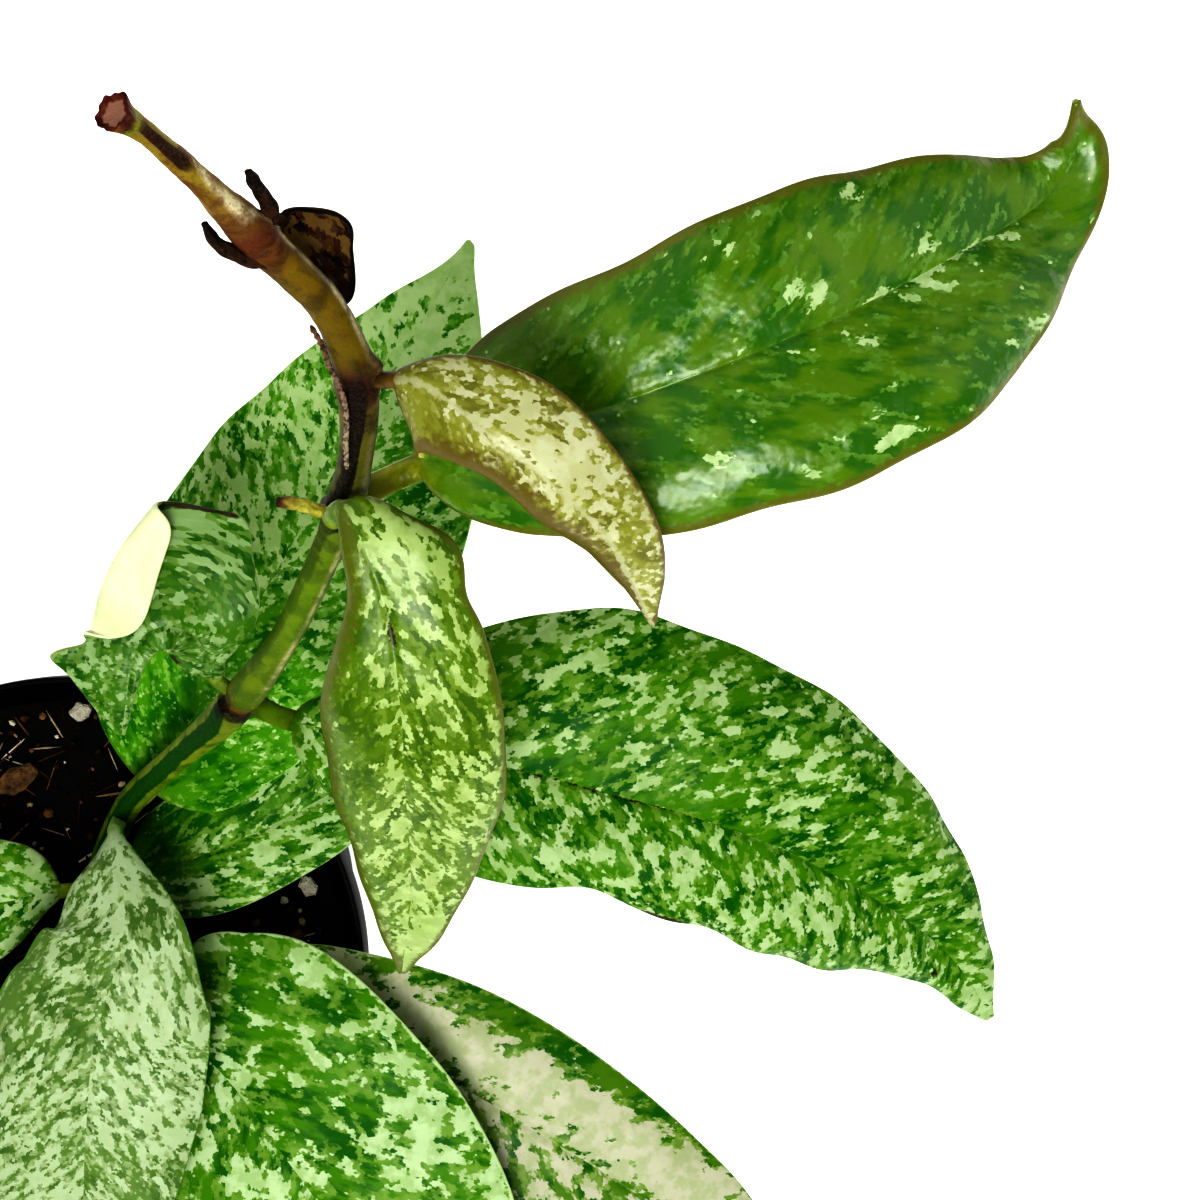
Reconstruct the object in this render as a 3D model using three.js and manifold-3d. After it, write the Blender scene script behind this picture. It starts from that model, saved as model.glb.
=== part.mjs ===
// A potted hoya with splashed leaves: a nursery pot, its soil, two stems and their leaves.
// Millimetres, +Z up. The origin is the centre of the pot's flat base.
import * as THREE from "three";
import { mergeVertices } from "three/addons/utils/BufferGeometryUtils.js";
import Module from "manifold-3d";

const wasm = await Module();
wasm.setup();

const CLEARANCE = 0.3;

// The pot: a plain round nursery pot with a turned-out rim.
const POT_HEIGHT = 90;
const POT_RIM_RADIUS = 52.5;
const POT_NECK_RADIUS = 50.3;
const POT_BASE_RADIUS = 38;
const POT_WALL = 1.1;
const POT_RIM_DEPTH = 7;
const POT_FOOT_RADIUS = 34;
const POT_FLOOR = 1.5;
const POT_EDGE = 0.6;
const POT_SEGMENTS = 48;
const DRAIN_HOLES = 6;
const DRAIN_RADIUS = 3.5;
const DRAIN_CIRCLE = 27;

// The soil: a plug that fills the pot to a little below its rim.
const SOIL_TOP = 85.5;
const SOIL_RINGS = 7;
const SOIL_BUMP = 0.7;

// Leaf blades are thin and stiff. Petioles are round.
const BLADE_THICKNESS = 1.1;
const BLADE_STATIONS = 8;
const PETIOLE_STEPS = 2;
const BLADE_STEPS = 15;
const ACROSS_STEPS = 6;
const ROLLED_BLADE_STEPS = 26;
const ROLLED_ACROSS_STEPS = 20;
const BEND_STEPS = 12;
const TIP_HALF_WIDTH = 0.25;
const PETIOLE_DEPTH = 1.6;
const PETIOLE_BLEND = 0.15;
const CREASE_RUN_OUT = 25;

const COLOURS = {
  pot: 0x0d0d0e,
  soil: 0x241c16,
  bark: 0x7a4a2a,
  perlite: 0xd8d2c4,
  greenStem: 0x6f8428,
  fleckedGreen: 0x4f8a2a,
  oliveGreen: 0x54742a,
  youngOlive: 0x9a9048,
  paleFlecked: 0x9cb878,
  dryBrown: 0x2e1c14,
  yellowStub: 0xa89a3c,
  fibre: 0x8a7a50,
};

// The main stem leans out of the pot. Each row is a point on its axis and its radius there.
const MAIN_STEM = [
  [-1, -3, 48, 1.9],
  [1, 6, 74, 2.0],
  [4.5, 14.5, 88.5, 2.4],
  [11.5, 29, 96, 2.3],
  [25, 40, 115, 2.3],
  [39.5, 50.5, 135, 2.9],
  [50.5, 61.5, 153, 2.1],
  [59, 74, 168, 2.1],
  [61.5, 77.8, 174.5, 2.5],
  [64.5, 83, 185, 2.1],
  [66.5, 90.5, 197, 2.4],
  [65, 97, 209, 2.0],
  [59.5, 102.5, 220, 2.1],
  [55.8, 105.9, 231, 1.25],
  [53.3, 107.8, 238, 1.05],
  [51.5, 108.5, 242, 1.5],
];

// Swellings grown onto the main stem: the scar of a flower stalk and an axil bud.
const STEM_BUMPS = [
  [68.1, 91.7, 201.6, 1.1],
  [58.5, 74.1, 171.2, 1.4],
];

// A short shoot carries the two lowest leaves at the front right.
const SIDE_SHOOT = [
  [6, -8, 50, 1.6],
  [10, -1, 74, 1.8],
  [12.5, 2.5, 86, 2],
  [13.5, 3.5, 92, 2.1],
  [14, 4, 97, 1.4],
];

// Each leaf runs along a path from the stem to its tip. The blade starts at path point `blade`.
// Its half widths stand at seven stations, close together at both ends.
// A bend is the fold at the midrib, the further curl at the margin, and where that curl starts.
// A notch in a margin has its place along the blade, its half length in the same share, and its depth.
// A crease is a bowed line, beyond which the blade rolls up and back over itself at a radius.
const LEAVES = {
  leaf_back: {
    colour: "fleckedGreen",
    petiole: 1.5,
    path: [[13.8, 31, 93.6], [17, 34, 96.5], [28, 49.5, 106.5], [46, 77, 118], [63, 104, 125],
      [74, 121.5, 128]],
    left: [14.5, 19.5, 22, 21, 16, 7.5, 1.5],
    right: [11.5, 17, 23, 26.5, 22, 12.5, 3.5],
    leftBend: [8, -30, 0.3],
    rightBend: [10, -20, 0.3],
  },
  leaf_right: {
    colour: "fleckedGreen",
    petiole: 1.5,
    path: [[44.1, 49.4, 136.5], [49.5, 48, 139], [69.5, 44.5, 144], [94, 38.5, 146], [113.5, 32.5, 142],
      [133.5, 22, 131], [150, 9, 118], [159, -3.5, 107]],
    left: [6.5, 17, 27, 25.5, 19, 9, 2.5],
    right: [10, 17.5, 18, 17, 15.5, 7.5, 3],
    leftBend: [10, -45, 0.3],
    rightBend: [6, -50, 0.3],
    rightNotches: [[0.36, 0.05, 3]],
  },
  leaf_large: {
    colour: "oliveGreen",
    petiole: 1.65,
    path: [[64.6, 80, 174.7], [72, 83, 177], [84, 86.5, 182], [99, 90.5, 186], [119.5, 98.5, 187],
      [138, 108.5, 181], [151, 117.5, 175], [153.6, 122.3, 177], [152, 127, 183]],
    left: [6.5, 13.5, 16, 17, 14, 7, 1.8],
    right: [9, 14.5, 18, 20, 17.5, 8.8, 1.8],
    leftBend: [10, -25, 0.4],
    rightBend: [8, -45, 0.35],
  },
  leaf_small: {
    colour: "youngOlive",
    petiole: 0.95,
    path: [[69.3, 90.7, 198.5], [71.5, 90.6, 200.5], [75, 89.5, 203], [82, 84, 205], [89, 78.5, 202],
      [95, 73, 194], [100.5, 63, 179]],
    left: [2.5, 6.5, 9, 8, 6, 4, 1.5],
    right: [9, 7.5, 5, 5, 3.5, 1.5, 0.6],
    leftBend: [-8, -20, 0.3],
    rightBend: [-25, -30, 0.3],
    roll: [0, 5, 10],
  },
  leaf_drooping: {
    colour: "youngOlive",
    petiole: 1.2,
    blade: 2,
    path: [[60, 75.3, 176.5], [60.8, 76, 180], [63, 77, 183.4], [65.3, 73, 184.6], [68, 64.5, 182.5],
      [69, 51.5, 176], [68.5, 39.5, 166], [67.5, 25, 151], [64.5, 10.5, 136]],
    left: [6, 10.5, 13, 13.5, 10, 5.5, 2],
    right: [2.5, 5.5, 11, 12, 9.5, 6.5, 2],
    leftBend: [0, -40, 0.35],
    rightBend: [-5, -45, 0.35],
    leftNotches: [[0.1, 0.04, -1.5], [0.17, 0.03, 0.8]],
  },
  leaf_front: {
    colour: "paleFlecked",
    petiole: 1.5,
    path: [[10.6, 26.6, 98.6], [12.2, 26.3, 103], [14.5, 22.5, 108], [16.5, 12, 112.5], [14, 2, 113.5],
      [11.5, -6, 112.5], [7.5, -33.5, 105.5], [1.5, -63.5, 93]],
    left: [2, 7.5, 17.5, 18.5, 14.5, 10, 3.5],
    right: [9, 13.5, 18, 22.5, 24, 20.5, 10],
    leftBend: [-8, -20, 0.4],
    rightBend: [-8, -35, 0.4],
  },
  leaf_left: {
    colour: "paleFlecked",
    petiole: 1.3,
    path: [[2.2, 15, 90.6], [-1, 15, 92.6], [-8, 14, 96], [-26, 12, 98], [-48, 10, 97], [-69.5, 9, 92]],
    left: [3.5, 9.5, 13, 14, 11.5, 6.5, 2],
    right: [8, 11.5, 13.5, 13.5, 11, 6.5, 1.5],
    leftBend: [5, -20, 0.3],
    rightBend: [5, -20, 0.3],
  },
  leaf_low_right: {
    colour: "paleFlecked",
    petiole: 1.3,
    path: [[8.6, 14.3, 89.2], [12.2, 16, 91.4], [21, 20, 93.6], [36, 26.5, 95.8], [50, 34, 97.4],
      [63.5, 42, 98]],
    left: [6, 10.5, 12.5, 13.5, 12, 9, 4.5],
    right: [6.5, 10, 11, 10.5, 9, 5.5, 1.5],
    leftBend: [5, -20, 0.3],
    rightBend: [5, -20, 0.3],
  },
  leaf_shoot_upper: {
    colour: "fleckedGreen",
    petiole: 1.3,
    path: [[13.8, 0.6, 92.7], [15, -2, 95], [20, -6, 97.6], [28.8, -14.5, 99], [41, -30, 99.5],
      [56, -53, 96], [71, -77, 88]],
    left: [15, 26, 30, 31, 28, 20, 10],
    right: [11.5, 16.5, 20.5, 21.5, 19, 12.5, 3.5],
    leftBend: [8, -16, 0.3],
    rightBend: [-6, -10, 0.3],
  },
  leaf_shoot_lower: {
    colour: "fleckedGreen",
    petiole: 1.2,
    blade: 2,
    path: [[16.3, 3.6, 91.3], [24, 2, 92.4], [32, -1, 93.3], [47, -7.5, 93.8], [69, -18.5, 93],
      [94.5, -35, 90], [118.5, -52, 84], [139.5, -68, 76]],
    left: [9.5, 14, 17, 16.5, 12.5, 6, 1.5],
    right: [9, 17.5, 23.5, 25, 22, 15.5, 6],
    leftBend: [5, -20, 0.3],
    rightBend: [5, -20, 0.3],
  },
  leaf_curled: {
    colour: "fleckedGreen",
    petiole: 1.2,
    path: [[37.3, 53.8, 137.4], [37, 54.9, 138.9], [37, 58.8, 144.5], [35.8, 61.3, 148.5],
      [33.1, 62.3, 151], [30.2, 61.2, 151], [28.2, 57.8, 150], [26.9, 52.9, 148.5], [25.4, 46.6, 145.5]],
    left: [5.4, 6.4, 3.6, 3.3, 1.7, 1, 0.5],
    right: [1.9, 3.3, 11.6, 20.4, 12.6, 6.6, 2.6],
    leftBend: [-5, -15, 0.3],
    rightBend: [0, -10, 0.4],
    rightNotches: [[0.36, 0.034, -3.3], [0.45, 0.035, 1.2], [0.645, 0.053, 7.4]],
    crease: { from: [33.2, 78.8, 150], to: [24.3, 58.6, 150], bow: 2.9, radius: 1.6, turn: 190, end: 0.9 },
  },
  dead_leaf: {
    colour: "dryBrown",
    petiole: 0.7,
    path: [[60.2, 104.5, 217.8], [61.2, 105.2, 214.5], [62.6, 104.4, 211], [63.9, 102.2, 207.5],
      [64.6, 100.6, 204.5], [64.6, 98.8, 201.5]],
    left: [1.6, 2.9, 5.3, 4.2, 3.2, 2.5, 1.5],
    right: [1, 1.8, 2, 2, 2, 1.5, 0.8],
    leftBend: [10, 35, 0.4],
    rightBend: [-20, -30, 0.4],
  },
};

// Dry stubs and thin strands on the stem: a point and a radius in each row.
const STRANDS = {
  dry_petiole_right: {
    colour: "dryBrown",
    rows: [[61.5, 105, 221.6, 0.7], [61.1, 105.9, 222.8, 0.75], [60.4, 106.9, 224, 0.55],
      [59.9, 107.5, 225.2, 0.35]],
  },
  dry_petiole_left: {
    colour: "dryBrown",
    rows: [[57.6, 100.6, 219.4, 0.6], [56.6, 100.9, 220.6, 0.75], [55.8, 101.6, 221.8, 0.6],
      [55.3, 102.9, 223, 0.3]],
  },
  peduncle_stub: {
    colour: "yellowStub",
    rows: [[58.6, 77.2, 176.4, 0.8], [56.9, 77.9, 177, 0.85], [55.3, 78.2, 177.2, 0.8],
      [53.7, 78.2, 177.3, 0.65]],
  },
  aerial_rootlet: {
    colour: "fibre",
    rows: [[63.3, 95, 209.1, 0.26], [64, 93.4, 206.4, 0.28], [64.2, 91.7, 203.2, 0.28],
      [64.9, 90, 201, 0.28], [65.2, 88.5, 198.9, 0.28], [65, 86.6, 195.7, 0.28],
      [64.4, 84.4, 192.1, 0.28], [63.9, 81.8, 188.1, 0.26]],
  },
};

// Loose chips on the soil: a place, a length, a width, a height and a turn in degrees.
const CHIPS = [
  ["perlite", 1.5, 46, 4.2, 3.2, 2.4, 20],
  ["perlite", -34, 26, 3.6, 3.4, 2.4, 70],
  ["perlite", 42, 15, 3.8, 3, 2.2, 130],
  ["perlite", -22, -34, 4, 3.2, 2.4, 0],
  ["bark_chip", -10, 34, 9, 4.5, 2.4, 35],
  ["bark_chip", -22, 38, 7.5, 3.6, 2.2, 110],
  ["bark_chip", 38.5, 4, 8, 4, 2.4, 60],
  ["bark_chip", 34, 30, 8.5, 3.6, 2.2, 150],
  ["bark_chip", -8, -20, 9, 5, 2.4, 15],
  ["bark_chip", 6, -38, 8, 4, 2.4, 80],
];

function material(colour, roughness = 0.6) {
  return new THREE.MeshStandardMaterial({ color: COLOURS[colour], roughness, metalness: 0 });
}

function named(name, geometry, colour, roughness) {
  const mesh = new THREE.Mesh(geometry, material(colour, roughness));
  mesh.name = name;
  return mesh;
}

function toSolid(geometry) {
  const bare = geometry.clone();
  bare.deleteAttribute("normal");
  bare.deleteAttribute("uv");
  const merged = mergeVertices(bare, 1e-3);
  return new wasm.Manifold(
    new wasm.Mesh({
      numProp: 3,
      vertProperties: merged.attributes.position.array,
      triVerts: new Uint32Array(merged.index.array),
    }),
  );
}

function toGeometry(solid) {
  const mesh = solid.getMesh();
  return new THREE.BufferGeometry()
    .setAttribute("position", new THREE.BufferAttribute(mesh.vertProperties, 3))
    .setIndex(new THREE.BufferAttribute(mesh.triVerts, 1));
}

function moveVertices(geometry, place) {
  const position = geometry.attributes.position;
  const point = new THREE.Vector3();
  for (let i = 0; i < position.count; i++) {
    point.fromBufferAttribute(position, i);
    place(point);
    position.setXYZ(i, point.x, point.y, point.z);
  }
  return geometry;
}

function smoothstep(x) {
  const t = THREE.MathUtils.clamp(x, 0, 1);
  return t * t * (3 - 2 * t);
}

// Reads a list of values at a fractional index, on a smooth curve through them.
function smoothRead(values, index) {
  const last = values.length - 1;
  const i = Math.min(Math.floor(index), last - 1);
  const f = index - i;
  const p1 = values[i];
  const p2 = values[i + 1];
  const p0 = i > 0 ? values[i - 1] : 2 * p1 - p2;
  const p3 = i + 2 <= last ? values[i + 2] : 2 * p2 - p1;
  const bend = 2 * p0 - 5 * p1 + 4 * p2 - p3 + f * (3 * (p1 - p2) + p3 - p0);
  return p1 + 0.5 * f * (p2 - p0 + f * bend);
}

function curveThrough(rows) {
  return new THREE.CatmullRomCurve3(rows.map(([x, y, z]) => new THREE.Vector3(x, y, z)));
}

// How far along the curve its control point number `index` lies, from 0 to 1.
function fractionAt(curve, index) {
  const steps = 40;
  const lengths = curve.getLengths(steps * (curve.points.length - 1));
  return lengths[index * steps] / lengths[lengths.length - 1];
}

// A round bar along a curve, with a radius given at each of its points.
function taperedBar(rows, sides, steps, extra = 0) {
  const curve = curveThrough(rows);
  const fractions = rows.map((row, i) => fractionAt(curve, i));
  const frames = curve.computeFrenetFrames(steps);
  const radiusAt = (t) => {
    const after = Math.max(1, fractions.findIndex((f) => f >= t - 1e-9));
    const share = (t - fractions[after - 1]) / (fractions[after] - fractions[after - 1]);
    return THREE.MathUtils.lerp(rows[after - 1][3], rows[after][3], smoothstep(share)) + extra;
  };
  return moveVertices(new THREE.CylinderGeometry(1, 1, 1, sides, steps), (point) => {
    const t = THREE.MathUtils.clamp(point.y + 0.5, 0, 1);
    const step = Math.round(t * steps);
    const radius = radiusAt(t);
    const { x, z } = point;
    point.copy(curve.getPointAt(t));
    point.addScaledVector(frames.normals[step], x * radius);
    point.addScaledVector(frames.binormals[step], -z * radius);
  });
}

// The room that a stem takes in the soil, a clearance wider and deeper than the stem.
function buriedBar(rows, steps) {
  const [[x, y, z, radius], ...rest] = rows;
  return taperedBar([[x, y, z - CLEARANCE, radius], ...rest], 10, steps, CLEARANCE);
}

function mainStemGeometry() {
  let stem = toSolid(taperedBar(MAIN_STEM, 10, 40));
  for (const [x, y, z, radius] of STEM_BUMPS) {
    stem = stem.add(toSolid(new THREE.IcosahedronGeometry(radius, 1).translate(x, y, z)));
  }
  return toGeometry(stem);
}

// One half of a blade's cross-section: how far out and how far up its margin share lies.
function acrossBlade(leaf, side, share, s) {
  const widths = [leaf.petiole, ...leaf[side], TIP_HALF_WIDTH];
  const station = (BLADE_STATIONS * Math.acos(1 - 2 * s)) / Math.PI;
  const notches = leaf[side + "Notches"] ?? [];
  const cut = notches.reduce((sum, [at, half, deep]) => sum + deep * Math.exp(-(((s - at) / half) ** 2)), 0);
  const width = Math.max(smoothRead(widths, station) - cut, TIP_HALF_WIDTH);
  const [fold, curl, start] = leaf[side + "Bend"];
  const section = { out: 0, up: 0, angle: 0 };
  for (let i = 0; i < BEND_STEPS; i++) {
    const q = ((i + 0.5) / BEND_STEPS) * share;
    const degrees = fold + curl * smoothstep((q - start) / (1 - start));
    section.angle = THREE.MathUtils.degToRad(degrees);
    section.out += (Math.cos(section.angle) * width * share) / BEND_STEPS;
    section.up += (Math.sin(section.angle) * width * share) / BEND_STEPS;
  }
  return section;
}

// Rolls a point beyond a crease round a cylinder that stands on the blade along it.
function rollOver(point, crease) {
  const from = new THREE.Vector3(...crease.from);
  const along = new THREE.Vector3(...crease.to).sub(from);
  const length = along.length();
  along.normalize();
  const outward = new THREE.Vector3(along.y, -along.x, 0);
  const offset = point.clone().sub(from);
  const u = THREE.MathUtils.clamp(offset.dot(along) / length, -0.3, 1.3);
  const bow = crease.bow * (1 - (2 * u - 1) ** 2) + CREASE_RUN_OUT * Math.max(u - crease.end, 0);
  const reach = offset.dot(outward) - bow;
  if (reach <= 0) return;
  const height = offset.z;
  const angle = Math.min(reach / crease.radius, THREE.MathUtils.degToRad(crease.turn));
  const rest = reach - angle * crease.radius;
  const inner = crease.radius - height;
  point.addScaledVector(outward, inner * Math.sin(angle) + rest * Math.cos(angle) - reach);
  point.z += crease.radius - inner * Math.cos(angle) + rest * Math.sin(angle) - height;
}

// A leaf: a petiole that widens into a thin blade, bent and folded along its path.
function leafGeometry(leaf) {
  const curve = curveThrough(leaf.path);
  const bladeStart = fractionAt(curve, leaf.blade ?? 1);
  const bladeSteps = leaf.crease ? ROLLED_BLADE_STEPS : BLADE_STEPS;
  const acrossSteps = leaf.crease ? ROLLED_ACROSS_STEPS : ACROSS_STEPS;
  const steps = PETIOLE_STEPS + bladeSteps;
  const roll = leaf.roll ?? [0, 0];
  return moveVertices(new THREE.BoxGeometry(1, 1, 1, acrossSteps, steps, 1), (point) => {
    const step = (point.y + 0.5) * steps;
    const inBlade = Math.max(0, (step - PETIOLE_STEPS) / bladeSteps);
    const s = THREE.MathUtils.clamp((1 - Math.cos(Math.PI * inBlade)) / 2, 0, 1);
    const t = step < PETIOLE_STEPS ? (bladeStart * step) / PETIOLE_STEPS : bladeStart + s * (1 - bladeStart);
    const tangent = curve.getTangentAt(Math.min(t, 1));
    const side = new THREE.Vector3().crossVectors(tangent, new THREE.Vector3(0, 0, 1)).normalize();
    const turn = THREE.MathUtils.degToRad(smoothRead(roll, s * (roll.length - 1)));
    side.applyAxisAngle(tangent, turn);
    const up = new THREE.Vector3().crossVectors(side, tangent);
    const hand = point.x > 0 ? 1 : -1;
    const section = acrossBlade(leaf, hand > 0 ? "right" : "left", Math.abs(point.x) * 2, s);
    const flattening = smoothstep(s / PETIOLE_BLEND);
    const thickness = THREE.MathUtils.lerp(leaf.petiole * PETIOLE_DEPTH, BLADE_THICKNESS, flattening);
    const lift = point.z * thickness;
    const out = section.out - Math.sin(section.angle) * lift;
    const rise = section.up + Math.cos(section.angle) * lift;
    point.copy(curve.getPointAt(Math.min(t, 1)));
    point.addScaledVector(side, hand * out);
    point.addScaledVector(up, rise);
    if (leaf.crease) rollOver(point, leaf.crease);
  });
}

function potGeometry() {
  const neckHeight = POT_HEIGHT - POT_RIM_DEPTH;
  const profile = [
    [0, 0],
    [POT_FOOT_RADIUS, 0],
    [POT_BASE_RADIUS - 1, 1],
    [POT_BASE_RADIUS, 2 * POT_FLOOR],
    [POT_NECK_RADIUS - 1, neckHeight],
    [POT_RIM_RADIUS - POT_EDGE, neckHeight + POT_EDGE / 2],
    [POT_RIM_RADIUS, neckHeight + 2 * POT_EDGE],
    [POT_RIM_RADIUS, POT_HEIGHT - POT_EDGE],
    [POT_RIM_RADIUS - POT_EDGE, POT_HEIGHT],
    [POT_RIM_RADIUS - POT_WALL, POT_HEIGHT - POT_EDGE / 2],
    [POT_NECK_RADIUS - POT_WALL, neckHeight],
    [POT_BASE_RADIUS - POT_WALL, 2 * POT_FLOOR],
    [POT_BASE_RADIUS - POT_WALL - POT_FLOOR, POT_FLOOR],
    [0, POT_FLOOR],
  ].map(([r, z]) => new THREE.Vector2(r, z));
  const turned = new THREE.LatheGeometry(profile, POT_SEGMENTS).rotateX(Math.PI / 2);
  let pot = toSolid(turned);
  for (let i = 0; i < DRAIN_HOLES; i++) {
    const angle = (2 * Math.PI * (i + 0.5)) / DRAIN_HOLES;
    const hole = new THREE.CylinderGeometry(DRAIN_RADIUS, DRAIN_RADIUS, 4 * POT_FLOOR, 12)
      .rotateX(Math.PI / 2)
      .translate(DRAIN_CIRCLE * Math.cos(angle), DRAIN_CIRCLE * Math.sin(angle), 0);
    pot = pot.subtract(toSolid(hole));
  }
  return toGeometry(pot);
}

// The soil's surface: low mounds that fade out at the wall.
function soilHeight(x, y) {
  const mounds = Math.sin(x * 0.21 + 1) * Math.cos(y * 0.17) + 0.6 * Math.sin(x * 0.43 - y * 0.37);
  return SOIL_TOP + SOIL_BUMP * mounds;
}

function innerWallRadius(z) {
  const corner = 2 * POT_FLOOR;
  const slope = (POT_NECK_RADIUS - POT_BASE_RADIUS) / (POT_HEIGHT - POT_RIM_DEPTH - corner);
  return POT_BASE_RADIUS - POT_WALL + slope * (z - corner);
}

function soilGeometry(stems) {
  const floor = POT_FLOOR + CLEARANCE;
  const shoulder = POT_HEIGHT - POT_RIM_DEPTH - 1;
  const wall = innerWallRadius(shoulder) - 2 * CLEARANCE;
  const profile = [
    [0, floor],
    [POT_BASE_RADIUS - POT_WALL - POT_FLOOR - 2 * CLEARANCE, floor],
    [innerWallRadius(3 * POT_FLOOR) - 2 * CLEARANCE, 3 * POT_FLOOR],
    [wall, shoulder],
  ];
  for (let ring = 0; ring < SOIL_RINGS; ring++) {
    profile.push([wall * (1 - ring / SOIL_RINGS), SOIL_TOP]);
  }
  profile.push([0, SOIL_TOP]);
  const points = profile.map(([r, z]) => new THREE.Vector2(r, z));
  const plug = new THREE.LatheGeometry(points, POT_SEGMENTS).rotateX(Math.PI / 2);
  moveVertices(plug, (point) => {
    if (point.z > SOIL_TOP - 0.01) point.z = soilHeight(point.x, point.y);
  });
  let soil = toSolid(plug);
  for (const stem of stems) soil = soil.subtract(toSolid(stem));
  return toGeometry(soil);
}

// An angular chip: a low sphere with its corners pushed in and out.
function chipGeometry(x, y, length, width, height, degrees) {
  const chip = moveVertices(new THREE.IcosahedronGeometry(1, 1), (point) => {
    const rough = 1 + 0.16 * Math.sin(5 * point.x + x) * Math.cos(4 * point.y + y);
    point.multiplyScalar(rough);
    point.z = THREE.MathUtils.clamp(point.z, -0.7, 0.8);
  });
  const reach = length * 0.35;
  const around = [[0, 0], [reach, 0], [-reach, 0], [0, reach], [0, -reach]];
  const mound = Math.max(...around.map(([dx, dy]) => soilHeight(x + dx, y + dy)));
  return chip
    .scale(length / 2, width / 2, height / 2)
    .rotateZ(THREE.MathUtils.degToRad(degrees))
    .translate(x, y, mound + CLEARANCE + height * 0.35);
}

const plant = new THREE.Group();
plant.add(named("pot", potGeometry(), "pot", 0.45));
const buried = [buriedBar(MAIN_STEM, 40), buriedBar(SIDE_SHOOT, 16)];
plant.add(named("soil", soilGeometry(buried), "soil", 0.95));
plant.add(named("main_stem", mainStemGeometry(), "greenStem"));
plant.add(named("side_shoot", taperedBar(SIDE_SHOOT, 10, 16), "greenStem"));
for (const [name, leaf] of Object.entries(LEAVES)) {
  plant.add(named(name, leafGeometry(leaf), leaf.colour, 0.35));
}
for (const [name, strand] of Object.entries(STRANDS)) {
  plant.add(named(name, taperedBar(strand.rows, 6, 10), strand.colour));
}
CHIPS.forEach(([kind, ...size], i) => {
  const colour = kind === "perlite" ? "perlite" : "bark";
  plant.add(named(`${kind}_${i + 1}`, chipGeometry(...size), colour, 0.9));
});

export default plant;
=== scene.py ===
# A potted hoya with splashed leaves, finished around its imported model.
# Lengths in the tables are millimetres; every Blender object is in metres, in the model's frame.
import math

import bpy
import numpy as np
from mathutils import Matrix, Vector, noise


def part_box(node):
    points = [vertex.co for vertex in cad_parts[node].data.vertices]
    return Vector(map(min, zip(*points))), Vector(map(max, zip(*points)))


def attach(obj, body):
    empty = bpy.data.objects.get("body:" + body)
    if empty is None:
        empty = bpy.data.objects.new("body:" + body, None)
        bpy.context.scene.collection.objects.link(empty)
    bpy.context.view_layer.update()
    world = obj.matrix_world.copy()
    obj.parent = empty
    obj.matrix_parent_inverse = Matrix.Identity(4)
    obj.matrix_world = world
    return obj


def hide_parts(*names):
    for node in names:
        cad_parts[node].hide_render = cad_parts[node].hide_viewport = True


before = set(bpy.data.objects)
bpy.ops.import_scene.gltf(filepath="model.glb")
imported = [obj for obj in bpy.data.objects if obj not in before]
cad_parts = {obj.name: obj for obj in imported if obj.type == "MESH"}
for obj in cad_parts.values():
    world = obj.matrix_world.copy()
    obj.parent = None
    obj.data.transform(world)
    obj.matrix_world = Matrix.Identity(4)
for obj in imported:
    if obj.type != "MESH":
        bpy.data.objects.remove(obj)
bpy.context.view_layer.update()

bl_info = {
    "name": "Splashed Hoya",
    "version": (1, 0, 0),
    "blender": (4, 5, 0),
    "location": "3D View > Sidebar > Hoya",
    "description": "Builds the looks of a potted hoya with splashed leaves",
    "category": "Object",
}

MM = 0.001

# The photo is a square of this many pixels, and its focal length is counted in them too.
PHOTO_PIXELS = 1200
FOCAL_PIXELS = 1700
SENSOR = 36
CAMERA_PLACE = (0.094, 0.066, 0.39)

# The camera's view of the colours, and the pale light that comes from all around.
VIEW_TRANSFORM, VIEW_LOOK = "Standard", "Very High Contrast"
ROOM_COLOUR, ROOM_STRENGTH = (0.95, 0.97, 1, 1), 0.18
FLOOR_SIZE, FLOOR_GLOW = 6, 0.5

# Where the lights point, and each softbox's offset from there, its size and its share of the power.
LIGHT_TARGET = (0.07, 0.03, 0.12)
SOFTBOXES = {
    "key": ((0.0, -0.45, 0.8), 0.5, 1.0),
    "fill": ((-0.55, 0.5, 0.75), 1.2, 1.0),
    "side": ((0.9, 0.3, 0.5), 0.9, 0.7),
}


# Colours

def colour(code):
    """A linear colour with alpha from a six-digit sRGB code."""
    parts = [int(code[i:i + 2], 16) / 255 for i in (0, 2, 4)]
    return tuple(c / 12.92 if c <= 0.04045 else ((c + 0.055) / 1.055) ** 2.4 for c in parts) + (1.0,)


# The plant's routes, the same as the model's.
# Each row of a bar is a point on its axis and its radius there.
MAIN_STEM = [
    (-1, -3, 48, 1.9), (1, 6, 74, 2.0), (4.5, 14.5, 88.5, 2.4), (11.5, 29, 96, 2.3),
    (25, 40, 115, 2.3), (39.5, 50.5, 135, 2.9), (50.5, 61.5, 153, 2.1), (59, 74, 168, 2.1),
    (61.5, 77.8, 174.5, 2.5), (64.5, 83, 185, 2.1), (66.5, 90.5, 197, 2.4), (65, 97, 209, 2.0),
    (59.5, 102.5, 220, 2.1), (55.8, 105.9, 231, 1.25), (53.3, 107.8, 238, 1.05), (51.5, 108.5, 242, 1.5),
]
SIDE_SHOOT = [
    (6, -8, 50, 1.6), (10, -1, 74, 1.8), (12.5, 2.5, 86, 2), (13.5, 3.5, 92, 2.1), (14, 4, 97, 1.4),
]
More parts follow.
